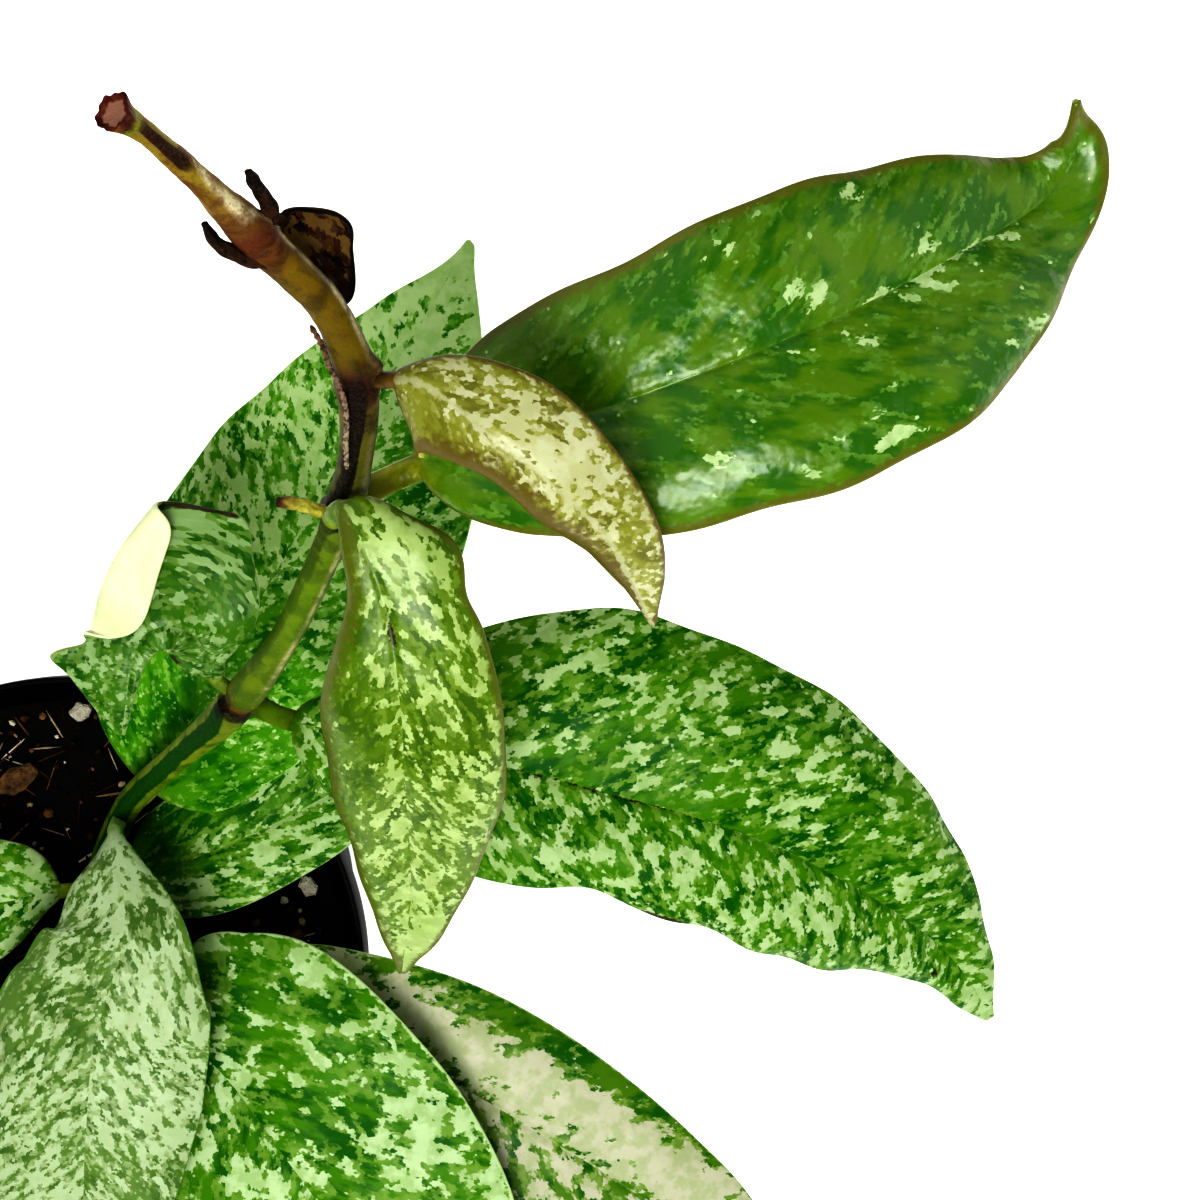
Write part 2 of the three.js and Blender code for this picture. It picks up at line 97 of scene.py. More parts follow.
STRANDS = {
    "dry_petiole_right": [(60.6, 103.5, 220.4, 1.0), (61.2, 104.6, 221.6, 0.9), (60.8, 105.9, 222.8, 0.7),
                          (60.2, 106.9, 224, 0.65), (59.9, 107.5, 225.2, 0.4)],
    "dry_petiole_left": [(60.2, 100.6, 218, 1.0), (58.6, 100.4, 219.2, 0.9), (56.8, 100.9, 220.8, 0.75),
                         (55.8, 101.7, 222, 0.6), (55.1, 103, 223, 0.35)],
    "peduncle_stub": [(60.4, 77.4, 175.6, 0.8), (58.6, 77.2, 176.4, 0.8), (56.9, 77.9, 177, 0.85),
                      (55.3, 78.2, 177.2, 0.8), (53.7, 78.2, 177.3, 0.65)],
    "aerial_rootlet": [(63.3, 95, 209.1, 0.26), (64, 93.4, 206.4, 0.28), (64.2, 91.7, 203.2, 0.28),
                       (64.9, 90, 201, 0.28), (65.2, 88.5, 198.9, 0.28), (65, 86.6, 195.7, 0.28),
                       (64.4, 84.4, 192.1, 0.28), (63.9, 81.8, 188.1, 0.26)],
}

# A leaf's path runs from the stem to its tip, and its blade starts at path point `blade`, usually the
# second. `petiole` is the petiole's radius, and the half widths stand at seven stations, close together
# at both ends. A bend is the fold at the midrib, the further curl at the margin, and where that curl
# starts. A notch has its place along the blade, its half length in the same share, and its depth.
# `roll` turns the blade about its path, and a crease is the line over which a margin has rolled.
LEAVES = {
    "leaf_back": dict(
        petiole=1.5,
        path=[(13.8, 31, 93.6), (17, 34, 96.5), (28, 49.5, 106.5), (46, 77, 118), (63, 104, 125),
              (74, 121.5, 128)],
        left=[14.5, 19.5, 22, 21, 16, 7.5, 1.5], right=[11.5, 17, 23, 26.5, 22, 12.5, 3.5],
        left_bend=(8, -30, 0.3), right_bend=(10, -20, 0.3)),
    "leaf_right": dict(
        petiole=1.5,
        path=[(44.1, 49.4, 136.5), (49.5, 48, 139), (69.5, 44.5, 144), (94, 38.5, 146), (113.5, 32.5, 142),
              (133.5, 22, 131), (150, 9, 118), (159, -3.5, 107)],
        left=[6.5, 17, 27, 25.5, 19, 9, 2.5], right=[10, 17.5, 18, 17, 15.5, 7.5, 3],
        left_bend=(10, -45, 0.3), right_bend=(6, -50, 0.3), right_notches=[(0.36, 0.05, 3)]),
    "leaf_large": dict(
        petiole=1.65,
        path=[(64.6, 80, 174.7), (72, 83, 177), (84, 86.5, 182), (99, 90.5, 186), (119.5, 98.5, 187),
              (138, 108.5, 181), (151, 117.5, 175), (153.6, 122.3, 177), (152, 127, 183)],
        left=[6.5, 13.5, 16, 17, 14, 7, 1.8], right=[9, 14.5, 18, 20, 17.5, 8.8, 1.8],
        left_bend=(10, -25, 0.4), right_bend=(8, -45, 0.35)),
    "leaf_small": dict(
        petiole=0.95,
        path=[(69.3, 90.7, 198.5), (71.5, 90.6, 200.5), (75, 89.5, 203), (82, 84, 205), (89, 78.5, 202),
              (95, 73, 194), (100.5, 63, 179)],
        left=[2.5, 6.5, 9, 8, 6, 4, 1.5], right=[9, 7.5, 5, 5, 3.5, 1.5, 0.6],
        left_bend=(-8, -20, 0.3), right_bend=(-25, -30, 0.3), roll=(0, 5, 10)),
    "leaf_drooping": dict(
        petiole=1.2, blade=2,
        path=[(60, 75.3, 176.5), (60.8, 76, 180), (63, 77, 183.4), (65.3, 73, 184.6), (68, 64.5, 182.5),
              (69, 51.5, 176), (68.5, 39.5, 166), (67.5, 25, 151), (64.5, 10.5, 136)],
        left=[6, 10.5, 13, 13.5, 10, 5.5, 2], right=[2.5, 5.5, 11, 12, 9.5, 6.5, 2],
        left_bend=(0, -40, 0.35), right_bend=(-5, -45, 0.35),
        left_notches=[(0.1, 0.04, -1.5), (0.17, 0.03, 0.8)]),
    "leaf_front": dict(
        petiole=1.5,
        path=[(10.6, 26.6, 98.6), (12.2, 26.3, 103), (14.5, 22.5, 108), (16.5, 12, 112.5), (14, 2, 113.5),
              (11.5, -6, 112.5), (7.5, -33.5, 105.5), (1.5, -63.5, 93)],
        left=[2, 7.5, 17.5, 18.5, 14.5, 10, 3.5], right=[9, 13.5, 18, 22.5, 24, 20.5, 10],
        left_bend=(-8, -20, 0.4), right_bend=(-8, -35, 0.4)),
    "leaf_left": dict(
        petiole=1.3,
        path=[(2.2, 15, 90.6), (-1, 15, 92.6), (-8, 14, 96), (-26, 12, 98), (-48, 10, 97), (-69.5, 9, 92)],
        left=[3.5, 9.5, 13, 14, 11.5, 6.5, 2], right=[8, 11.5, 13.5, 13.5, 11, 6.5, 1.5],
        left_bend=(5, -20, 0.3), right_bend=(5, -20, 0.3)),
    "leaf_low_right": dict(
        petiole=1.3,
        path=[(8.6, 14.3, 89.2), (12.2, 16, 91.4), (21, 20, 93.6), (36, 26.5, 95.8), (50, 34, 97.4),
              (63.5, 42, 98)],
        left=[6, 10.5, 12.5, 13.5, 12, 9, 4.5], right=[6.5, 10, 11, 10.5, 9, 5.5, 1.5],
        left_bend=(5, -20, 0.3), right_bend=(5, -20, 0.3)),
    "leaf_shoot_upper": dict(
        petiole=1.3,
        path=[(13.8, 0.6, 92.7), (15, -2, 95), (20, -6, 97.6), (28.8, -14.5, 99), (41, -30, 99.5),
              (56, -53, 96), (71, -77, 88)],
        left=[15, 26, 30, 31, 28, 20, 10], right=[11.5, 16.5, 20.5, 21.5, 19, 12.5, 3.5],
        left_bend=(8, -16, 0.3), right_bend=(-6, -10, 0.3)),
    "leaf_shoot_lower": dict(
        petiole=1.2, blade=2,
        path=[(16.3, 3.6, 91.3), (24, 2, 92.4), (32, -1, 93.3), (47, -7.5, 93.8), (69, -18.5, 93),
              (94.5, -35, 90), (118.5, -52, 84), (139.5, -68, 76)],
        left=[9.5, 14, 17, 16.5, 12.5, 6, 1.5], right=[9, 17.5, 23.5, 25, 22, 15.5, 6],
        left_bend=(5, -20, 0.3), right_bend=(5, -20, 0.3)),
    "leaf_curled": dict(
        petiole=1.2,
        path=[(37.3, 53.8, 137.4), (37, 54.9, 138.9), (37, 58.8, 144.5), (35.8, 61.3, 148.5),
              (33.1, 62.3, 151), (30.2, 61.2, 151), (28.2, 57.8, 150), (26.9, 52.9, 148.5),
              (25.4, 46.6, 145.5)],
        left=[5.4, 6.4, 3.6, 3.3, 1.7, 1, 0.5], right=[1.9, 3.3, 11.6, 20.4, 12.6, 6.6, 2.6],
        left_bend=(-5, -15, 0.3), right_bend=(0, -10, 0.4),
        right_notches=[(0.36, 0.034, -3.3), (0.45, 0.035, 1.2), (0.645, 0.053, 7.4)],
        crease=dict(start=(33.2, 78.8, 150), end=(24.3, 58.6, 150), bow=2.9, radius=1.6, turn=190,
                    run_out=0.9)),
    "dead_leaf": dict(
        petiole=0.7,
        path=[(60.2, 104.5, 217.8), (61.2, 105.2, 214.5), (62.6, 104.4, 211), (63.9, 102.2, 207.5),
              (64.6, 100.6, 204.5), (64.6, 98.8, 201.5)],
        left=[1.6, 2.9, 5.3, 4.2, 3.2, 2.5, 1.5], right=[1, 1.8, 2, 2, 2, 1.5, 0.8],
        left_bend=(10, 35, 0.4), right_bend=(-20, -30, 0.4)),
}

# How each leaf looks. `amount` is how much of it is pale, `length` and `width` the size of a splash,
# `angle` how far the splashes lean out from the midrib in degrees, `wave` how high the blade's waves are,
# and `margins` how many times wider than usual the colour of the left and of the right margin is.
# A mark is a place (its share along and across the blade), its reach along and across, and how much
# paler it is there; a burn is laid out like a mark, and is brown: mostly a burnt spot, and in the
# drooping leaf's midrib crease a painted shade. A look may have its own colours of the stalk, the edge
# and the midrib, and its own depth of dimples.
LOOKS = {
    "leaf_back": dict(
        skin="back", amount=-0.12, length=2.7, width=1.6, angle=35, seed=3, wave=0.5,
        marks=[(0.95, 0, 22, 20, 0.6), (0.1, 0, 22, 22, -0.9)]),
    "leaf_right": dict(skin="splashed", amount=-0.15, length=3.2, width=1.8, angle=40, seed=11, wave=0.6,
                       marks=[(0.97, 0, 9, 14, 0.8), (0.5, 0, 60, 2.5, -0.4)],
                       burns_and_shade=[(0.43, 1, 4, 0.8, 1.1), (0.47, 1, 3.5, 0.9, 1.2), (0.86, 0.5, 0.8, 0.8, 1),
                              (0.35, 0, 22, 0.35, 0.7)],
                       stalk="42560a", stalk_light="5c760c"),
    "leaf_large": dict(
        skin="olive", amount=-1.0, length=4, width=1.6, angle=30, seed=23, wave=0.5, margins=(2.4, 2.4),
        stalk="6a7206", stalk_light="989a2e", dimples=2.2,
        # These marks are its cream flecks, and on its lower half partly a painted highlight where the blade
        # catches the light.
        marks=[(0.61, -0.82, 2, 1.6, 1.5), (0.506, -0.22, 3.2, 1.5, 1.5), (0.439, -0.68, 3, 1.5, 0.8),
               (0.48, -0.35, 3, 1.2, 0.8), (0.464, -0.9, 4, 1.5, 0.8), (0.678, -0.24, 2.5, 1.5, 1.1),
               (0.711, 0, 4, 0.9, 1.2), (0.586, 0, 6, 0.8, 0.8), (0.653, 0.1, 6, 3, 0.7),
               (0.787, 0.25, 5, 3, 0.7), (0.536, 0.24, 3, 1.2, 0.9), (0.536, 0.53, 2.8, 1, 1.1),
               (0.527, 0.83, 4.2, 1.2, 1.5), (0.506, 0.66, 3.4, 1, 1.3), (0.351, 0.54, 4, 1.6, 1.0),
               (0.435, 0.83, 2.4, 1.2, 1.0), (0.77, 0.94, 8, 1.6, 0.7)]),
    "leaf_small": dict(
        skin="small", amount=-0.15, length=1.9, width=1.0, angle=25, seed=31, wave=0.3, margins=(1.6, 6),
        midrib="aeb088", stalk="3c2c0c", stalk_light="6c5622",
        marks=[(0.12, 0.5, 7, 3, -1.5), (0.4, -0.4, 9, 4, 0.8)]),
    "leaf_drooping": dict(
        skin="drooping", amount=-0.16, length=3, width=1.05, angle=22, seed=47, wave=0.35, margins=(2.2, 5),
        marks=[(0.06, -0.6, 6, 4, 0.35), (0.3, 0.75, 22, 4, -0.7), (0.5, 0.5, 40, 3, -0.2),
               (0.75, -0.3, 14, 6, 0.35), (0.88, 0, 12, 8, 0.25)],
        # This one burn is a painted shade: a dark spot in the crease along the midrib.
        burns_and_shade=[(0.2, 0, 2.5, 0.45, 1.1)]),
    "leaf_front": dict(
        skin="pale", amount=-0.06, length=3.4, width=1.3, angle=35, seed=59, wave=0.5, margins=(1.2, 3.5),
        edge="588a28", stalk="7c9c4c", stalk_light="98b06c",
        marks=[(0.25, 0.95, 16, 3, -0.9), (0.05, 0, 8, 8, 0.3)]),
    "leaf_left": dict(skin="splashed", amount=0.1, length=3.4, width=1.9, angle=30, seed=61, wave=0.4),
    "leaf_low_right": dict(skin="splashed", amount=-0.18, length=5, width=1.5, angle=14, seed=67, wave=0.4,
                           marks=[(0.1, -0.5, 12, 6, -0.9)]),
    "leaf_shoot_upper": dict(skin="broad", amount=-0.1, length=4.8, width=3.4, angle=40, seed=71, wave=0.5,
                             margins=(2.5, 1), edge="b0c890"),
    "leaf_shoot_lower": dict(
        skin="cream", amount=-0.1, length=4, width=2.2, angle=30, seed=83, wave=0.4,
        marks=[(0.5, -0.45, 45, 5, 1.1), (0.5, -1, 70, 4, -1.3), (0.5, 1, 60, 10, -0.1)]),
    "leaf_curled": dict(skin="curled", amount=-0.2, length=1.3, width=1.8, angle=75, seed=97, wave=0.1,
                        burns_and_shade=[(0.415, 1, 1.5, 0.7, 1.3), (0.49, 0.3, 1, 0.7, 1.0),
                               (0.07, -1, 3.5, 1.5, 1.4)]),
    "dead_leaf": dict(skin="dead", amount=-0.2, length=1.7, width=1.2, angle=10, seed=101, wave=0.15,
                      stalk="1c0f08", stalk_light="3a2414",
                      marks=[(0.2, -0.5, 3, 3, 0.8), (0.75, -0.5, 4, 4, -0.7)]),
}

# The brown of a burn and of a painted shade, and the light tone of a petiole that has no tone of its own.
BURN_AND_SHADE = "30180a"
STALK_LIGHT = "8a9a34"

# A skin's colours are the blade's deep and fresh green, its half tone, its splash, its margin and its
# underside. Then come the margin's width, the roughness and the strength of the shine.
SKIN_PARTS = ("deep", "fresh", "half", "splash", "edge", "under", "edge_width", "gloss", "shine")
SKINS = {
    "splashed": ("145802", "487a06", "70923a", "a3b987", "8fa868", "7f9f4c", 0.3, 0.36, 0.07),
    "back": ("22660a", "508a16", "7ea84c", "aec68c", "98c070", "7f9f4c", 0.3, 0.4, 0.06),
    "broad": ("1e5e06", "4a7e0a", "74963f", "aec494", "8fa868", "7f9f4c", 0.3, 0.36, 0.07),
    "cream": ("1c5c04", "50780c", "80984c", "b2b298", "8fa868", "8fa45c", 0.3, 0.4, 0.15),
    "pale": ("4c6c2c", "62803c", "97a978", "a8ba92", "86a25c", "9fb66c", 0.3, 0.42, 0.15),
    "olive": ("346804", "5a7c0a", "688e38", "b0c690", "64681c", "8c9a4a", 0.8, 0.27, 0.5),
    "drooping": ("44640a", "5a780e", "728c30", "a6ba78", "5e681a", "a9a65a", 0.7, 0.3, 0.3),
    "small": ("6a6a20", "868a36", "9c9c5a", "babc96", "64581e", "a9a65a", 0.7, 0.34, 0.3),
    # The curled leaf's underside is its own pale cream, and partly a painted highlight on the rolled-over
    # margin that faces the light.
    "curled": ("245806", "467410", "6e8c44", "8ea874", "7c9454", "eef0c4", 0.3, 0.38, 0.25),
    "dead": ("080302", "381a08", "4c3416", "6a5428", "0c0604", "2c1e10", 0.4, 0.6, 0.2),
}

# The main stem's colours at places along its route, counted in the rows of MAIN_STEM:
# the light and the dark tone of its sides, and the tone of its front.
STEM_COLOURS = [
    (0, "202c08", "101804", "0c1804"), (2, "4a6414", "244806", "063c02"), (4, "7c8c20", "4c6c0c", "0a4c00"),
    (4.93, "748020", "446008", "0c4402"), (4.98, "1c1408", "080402", "080402"),
    (5.03, "160c04", "080402", "080402"), (5.07, "7a5a1a", "5a400e", "4a360a"),
    (5.25, "6a7c10", "50680c", "4a620c"), (6.5, "6a8410", "546e0c", "4a660a"),
    (7.5, "687c1c", "4c5c0c", "3a4808"), (7.9, "3c2c0c", "140a04", "080402"),
    (8.15, "201408", "080402", "060302"), (8.5, "565a18", "383a0e", "140a04"),
    (9.6, "625c20", "423c12", "180c05"), (10.05, "58380e", "301606", "1c0a04"),
    (10.25, "4c220e", "2a0e06", "241006"), (10.5, "6a5a09", "4a3a08", "463409"),
    (11.6, "725c0a", "504008", "52420a"), (11.9, "6c4014", "44240c", "5c3010"),
    (11.96, "3c1808", "240e05", "2c1006"), (12.0, "603214", "38180a", "4c240e"),
    (12.1, "603214", "38180a", "4c240e"), (12.35, "7a5c28", "5c3414", "6c4c20"),
    (13, "8a7a24", "684814", "6c5a1c"), (13.4, "84701e", "5c3410", "2c1408"),
    (14.3, "80702a", "603c14", "3a1c0a"), (14.6, "8e8e2c", "606418", "5c5418"),
    (14.82, "6c3418", "401008", "481c0c"), (15, "5c1c14", "340a08", "34100a"),
]
# How the front's tone lies at such a place, with its middle angle, its half width and its strength,
# and how much pale fuzz, partly a painted highlight, the stem's right side carries.
STEM_PAINT = [
    (0, 0, 0.7, 0.5, 0), (3, 0.1, 0.65, 1, 0), (4.8, 0.1, 0.5, 1, 0), (5.2, -0.8, 0.6, 0.6, 0.1),
    (5.6, -0.8, 0.6, 0.6, 0.9), (7.4, -0.6, 0.6, 0.7, 0.8), (7.9, 0, 0.7, 1, 0.3),
    (8.3, -0.05, 0.45, 1, 0.15), (10, 0, 0.5, 1, 0.1), (10.5, 0, 0.6, 0.2, 0.3),
    (10.8, -0.5, 0.6, 0.3, 0.9), (11.8, -0.5, 0.6, 0.3, 0.9), (11.95, 0, 0.6, 0.6, 0.2),
    (12.15, 0.3, 0.6, 0.5, 0.4), (12.35, -0.3, 0.5, 0.3, 1.5), (12.9, -0.3, 0.4, 0.2, 1.4),
    (13.15, 0, 0.4, 0.4, 1.2), (13.4, 0.1, 0.55, 1, 0.5), (14.2, 0, 0.55, 1, 0.3), (14.6, 0, 0.5, 0.2, 0.1),
    (15, 0, 0.5, 0, 0),
]

BLADE_STATIONS = 8
BEND_STEPS = 12
TIP_HALF_WIDTH = 0.25
PETIOLE_BLEND = 0.15
# A blade's relief: the pillows between its side veins, the groove over its midrib, the keel under it,
# and the length of a ruffle at its margin. The stalk is a little flattened and swells at the stem.
PILLOW_HEIGHT = 0.16
GROOVE_DEPTH, GROOVE_REACH = 0.32, 0.55
KEEL_HEIGHT, KEEL_REACH = 0.75, 0.9
RUFFLE_LENGTH = 17
STALK_FLATNESS = 0.8
STALK_SWELLING = 0.3
# The distance from a margin that stands for none, in the petiole.
FAR_FROM_RIM = 9
# The length of a petiole that one row of its mesh spans, and the columns that round a margin.
PETIOLE_ROW_LENGTH = 0.9
MARGIN_COLUMNS = 4


# Settings

def tint(name, description, code):
    """A colour that a user may change."""
    return bpy.props.FloatVectorProperty(
        name=name, description=description, size=4, subtype="COLOR", min=0, max=1, default=colour(code))


def thickness(name, description, default, low, high):
    """A thickness in metres that a user may change."""
    return bpy.props.FloatProperty(
        name=name, description=description, default=default, min=low, max=high, unit="LENGTH",
        subtype="DISTANCE")


def power(name, description, default):
    """The power of a light that a user may change."""
    return bpy.props.FloatProperty(
        name=name, description=description, default=default, min=0, max=100, unit="POWER")


class HoyaPotSettings(bpy.types.PropertyGroup):
    """The nursery pot and what fills it."""
    wall: thickness("Wall", "Thickness of the pot's wall", 0.0011, 0.0006, 0.003)
    plastic: tint("Plastic", "Colour of the pot", "070708")
    soil: tint("Soil", "Colour of the potting mix", "15100b")
    perlite: tint("Perlite", "Colour of the perlite", "d9d3c2")
    bark: tint("Bark", "Colour of the bark chips", "8a6844")
    crumbs: bpy.props.IntProperty(
        name="Crumbs", description="Number of loose crumbs on the soil", default=1100, min=0, max=2000)


class HoyaLeafSettings(bpy.types.PropertyGroup):
    """The blades' thickness and splashes."""
    blade: thickness("Blade", "Thickness of a blade beside its midrib", 0.0011, 0.0005, 0.002)
    margin: thickness("Margin", "Thickness of a blade at its margin", 0.0007, 0.0003, 0.0015)
    more_splash: bpy.props.FloatProperty(
        name="More splash", description="Makes every leaf paler or greener", default=0.0, min=-1, max=1)


class HoyaStemSettings(bpy.types.PropertyGroup):
    """The pale fuzz on the stems, partly a painted highlight, and the petioles' green."""
    fuzz: tint("Fuzz", "Colour of the pale fuzz on the stems", "c6bc98")
    petiole: tint("Petiole", "Colour of the living leaves' petioles", "4c6a0c")


class HoyaStageSettings(bpy.types.PropertyGroup):
    """The floor and the light."""
    floor: tint("Floor", "Colour of the floor", "f4f4f2")
    key: power("Key light", "Power of the main softbox", 6.6)
    fill: power("Fill light", "Power of the wide fill", 2.3)


# Meshes

def deselect():
    bpy.ops.object.select_all(action="DESELECT")


def finish_mesh(piece, merge=1e-6, angle=None):
    """Merges doubles, turns the faces outwards and shades the piece smooth."""
    deselect()
    piece.select_set(True)
    bpy.context.view_layer.objects.active = piece
    bpy.ops.object.mode_set(mode="EDIT")
    bpy.ops.mesh.select_all(action="SELECT")
    bpy.ops.mesh.remove_doubles(threshold=merge)
    bpy.ops.mesh.normals_make_consistent(inside=False)
    bpy.ops.object.mode_set(mode="OBJECT")
    if angle is None:
        bpy.ops.object.shade_smooth()
    else:
        bpy.ops.object.shade_smooth_by_angle(angle=math.radians(angle))
    deselect()
    return piece


def sheet_of_points(name, columns, rows, place):
    """Adds a grid and moves each vertex to place(u, w), both from 0 to 1, with what place marks on it."""
    deselect()
    bpy.ops.mesh.primitive_grid_add(x_subdivisions=columns, y_subdivisions=rows, size=1)
    piece = bpy.context.object
    piece.name = name
    piece.data.name = name
    mesh = piece.data
    flat = np.zeros(len(mesh.vertices) * 3)
    mesh.vertices.foreach_get("co", flat)
    u = np.round((flat[0::3] + 0.5) * columns) / columns
    w = np.round((flat[1::3] + 0.5) * rows) / rows
    points, extra = place(u, w)
    mesh.vertices.foreach_set("co", (points * MM).ravel())
    for label, values in extra.items():
        kind = "FLOAT_VECTOR" if values.ndim == 2 else "FLOAT"
        layer = mesh.attributes.new(label, kind, "POINT")
        layer.data.foreach_set("vector" if values.ndim == 2 else "value", values.ravel())
    mesh.update()
    return piece


def check_place(piece, node, slack=3.0):
    """Stops the script where a piece leaves the place of the node it stands for."""
    low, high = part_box(node)
    co = np.zeros(len(piece.data.vertices) * 3)
    piece.data.vertices.foreach_get("co", co)
    co = co.reshape(-1, 3)
    gap = max(np.abs(co.min(0) - np.array(low)).max(), np.abs(co.max(0) - np.array(high)).max()) / MM
    if gap > slack:
        raise RuntimeError(f"{piece.name} is {gap:.1f} mm off the node {node}")


def stand_for(piece, node, material, slack=3.0):
    """Gives a finished piece its material and its body, and hides the node that it replaces."""
    check_place(piece, node, slack)
    put_on(piece, material)
    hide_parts(node)


def put_on(piece, material):
    piece.data.materials.clear()
    piece.data.materials.append(material)
    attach(piece, "root")


# Curves and blades

def smoothstep(x, low=0.0, high=1.0):
    t = np.clip((x - low) / (high - low), 0, 1)
    return t * t * (3 - 2 * t)


def smooth_read(values, index):
    """Reads a list at fractional indices, on a smooth curve through its values."""
    values = np.asarray(values, float)
    last = len(values) - 1
    i = np.minimum(np.floor(index).astype(int), last - 1)
    f = index - i
    p1, p2 = values[i], values[i + 1]
    p0 = np.where(i > 0, values[np.maximum(i - 1, 0)], 2 * p1 - p2)
    p3 = np.where(i + 2 <= last, values[np.minimum(i + 2, last)], 2 * p2 - p1)
    bend = 2 * p0 - 5 * p1 + 4 * p2 - p3 + f * (3 * (p1 - p2) + p3 - p0)
    return p1 + 0.5 * f * (p2 - p0 + f * bend)


def unit(v):
    return v / np.linalg.norm(v, axis=-1, keepdims=True)


def turned(v, axis, angle):
    c, s = np.cos(angle)[:, None], np.sin(angle)[:, None]
    return v * c + np.cross(axis, v) * s + axis * np.sum(axis * v, -1, keepdims=True) * (1 - c)


class Route:
    """A smooth curve through the rows' points, read by its share of the whole length."""

    def __init__(self, rows, fine=120):
        points = np.array([row[:3] for row in rows], float)
        ends = 2 * points[0] - points[1], 2 * points[-1] - points[-2]
        padded = np.vstack([ends[0], points, ends[1]])
        spans = [points[:1]]
        for i in range(len(points) - 1):
            p0, p1, p2, p3 = padded[i:i + 4]
            d0, d1, d2 = (np.linalg.norm(b - a) ** 0.5 for a, b in ((p0, p1), (p1, p2), (p2, p3)))
            t1 = ((p1 - p0) / d0 - (p2 - p0) / (d0 + d1) + (p2 - p1) / d1) * d1
            t2 = ((p2 - p1) / d1 - (p3 - p1) / (d1 + d2) + (p3 - p2) / d2) * d1
            t = np.linspace(0, 1, fine + 1)[1:, None]
            bend = t ** 2 * (3 * (p2 - p1) - 2 * t1 - t2) + t ** 3 * (2 * (p1 - p2) + t1 + t2)
            spans.append(p1 + t * t1 + bend)
        self.points = np.vstack(spans)
        steps = np.linalg.norm(np.diff(self.points, axis=0), axis=1)
        self.lengths = np.concatenate([[0], np.cumsum(steps)])
        self.length = self.lengths[-1]
        self.shares = self.lengths[::fine] / self.length

    def at(self, t):
        d = np.clip(t, 0, 1) * self.length
        return np.stack([np.interp(d, self.lengths, self.points[:, k]) for k in range(3)], -1)

    def tangent(self, t, step=0.004):
        return unit(self.at(np.clip(t + step, 0, 1)) - self.at(np.clip(t - step, 0, 1)))


def half_width(leaf, side, s):
    widths = [leaf["petiole"], *leaf[side], TIP_HALF_WIDTH]
    station = BLADE_STATIONS * np.arccos(np.clip(1 - 2 * s, -1, 1)) / math.pi
    width = smooth_read(widths, station)
    for place, reach, depth in leaf.get(side + "_notches", ()):
        width = width - depth * np.exp(-(((s - place) / reach) ** 2))
    return np.maximum(width, TIP_HALF_WIDTH)


def across_blade(leaf, side, share, s):
    """How far out and how far up a share of a blade's half section lies."""
    width = half_width(leaf, side, s)
    fold, curl, start = leaf[side + "_bend"]
    out, rise = np.zeros_like(s), np.zeros_like(s)
    for i in range(BEND_STEPS):
        q = (i + 0.5) / BEND_STEPS * share
        angle = np.radians(fold + curl * smoothstep(q, start, 1))
        out += np.cos(angle) * width * share / BEND_STEPS
        rise += np.sin(angle) * width * share / BEND_STEPS
    return out, rise


def roll_over(points, crease):
    """Rolls what lies beyond a bowed crease round a cylinder that stands on the blade along it."""
    start, end = np.array(crease["start"], float), np.array(crease["end"], float)
    length = np.linalg.norm(end - start)
    along = (end - start) / length
    outward = np.array((along[1], -along[0], 0))
    offset = points - start
    u = np.clip(offset @ along / length, -0.3, 1.3)
    bow = crease["bow"] * (1 - (2 * u - 1) ** 2) + 25 * np.maximum(u - crease["run_out"], 0)
    reach = np.maximum(offset @ outward - bow, 0)
    height = offset[:, 2]
    angle = np.minimum(reach / crease["radius"], math.radians(crease["turn"]))
    rest = reach - angle * crease["radius"]
    inner = crease["radius"] - height
    shift = inner * np.sin(angle) + rest * np.cos(angle) - reach
    lift = crease["radius"] - inner * np.cos(angle) + rest * np.sin(angle) - height
    beyond = reach > 0
    moved = points + np.where(beyond, shift, 0)[:, None] * outward
    moved[:, 2] += np.where(beyond, lift, 0)
    return moved


def way_to_stem(start):
    """The step from a petiole's start to well inside the nearer stem."""
    steps = []
    for rows in (MAIN_STEM, SIDE_SHOOT):
        route = Route(rows)
        shares = np.linspace(0, 1, 600)
        offsets = route.at(shares) - np.array(start, float)
        nearest = np.linalg.norm(offsets, axis=1).argmin()
        steps.append(offsets[nearest] * 0.75)
    return min(steps, key=np.linalg.norm)


def blade_points(leaf, route, v, s):
    """The blade's middle surface at shares v across and s along; s below 0 is in the petiole."""
    start = route.shares[leaf.get("blade", 1)]
    t = np.where(s < 0, start * (1 + s), start + s * (1 - start))
    s = np.maximum(s, 0)
    tangent = route.tangent(t)
    side = unit(np.cross(tangent, (0, 0, 1)))
    roll = leaf.get("roll", (0, 0))
    side = turned(side, tangent, np.radians(smooth_read(roll, s * (len(roll) - 1))))
    up = np.cross(side, tangent)
    right = across_blade(leaf, "right", np.abs(v), s)
    left = across_blade(leaf, "left", np.abs(v), s)
    out, rise = (np.where(v > 0, right[k], left[k]) for k in range(2))
    points = route.at(t) + side * (np.sign(v) * out)[:, None] + up * rise[:, None]
    return roll_over(points, leaf["crease"]) if "crease" in leaf else points


def waves(x, y, seed):
    """Long low waves over a blade, between about -1 and 1."""
    a, b, c = (math.tau * math.sin(seed * k) for k in (12.9, 78.2, 37.7))
    long_wave = 0.55 * np.sin(math.tau * (y / 37 + x / 53) + a)
    cross_wave = 0.3 * np.sin(math.tau * (y / 19 - x / 27) + b)
    return long_wave + cross_wave + 0.15 * np.sin(math.tau * (x / 12 + y / 15) + c)


def quilting(x, y, angle, spacing=7.5):
    """Soft pillows between the side veins, from 0 in a vein to 1 between two."""
    lean = math.radians(angle + 15)
    q = y * math.sin(lean) - np.abs(x) * math.cos(lean)
    return np.abs(np.sin(math.pi * q / spacing)) ** 0.6


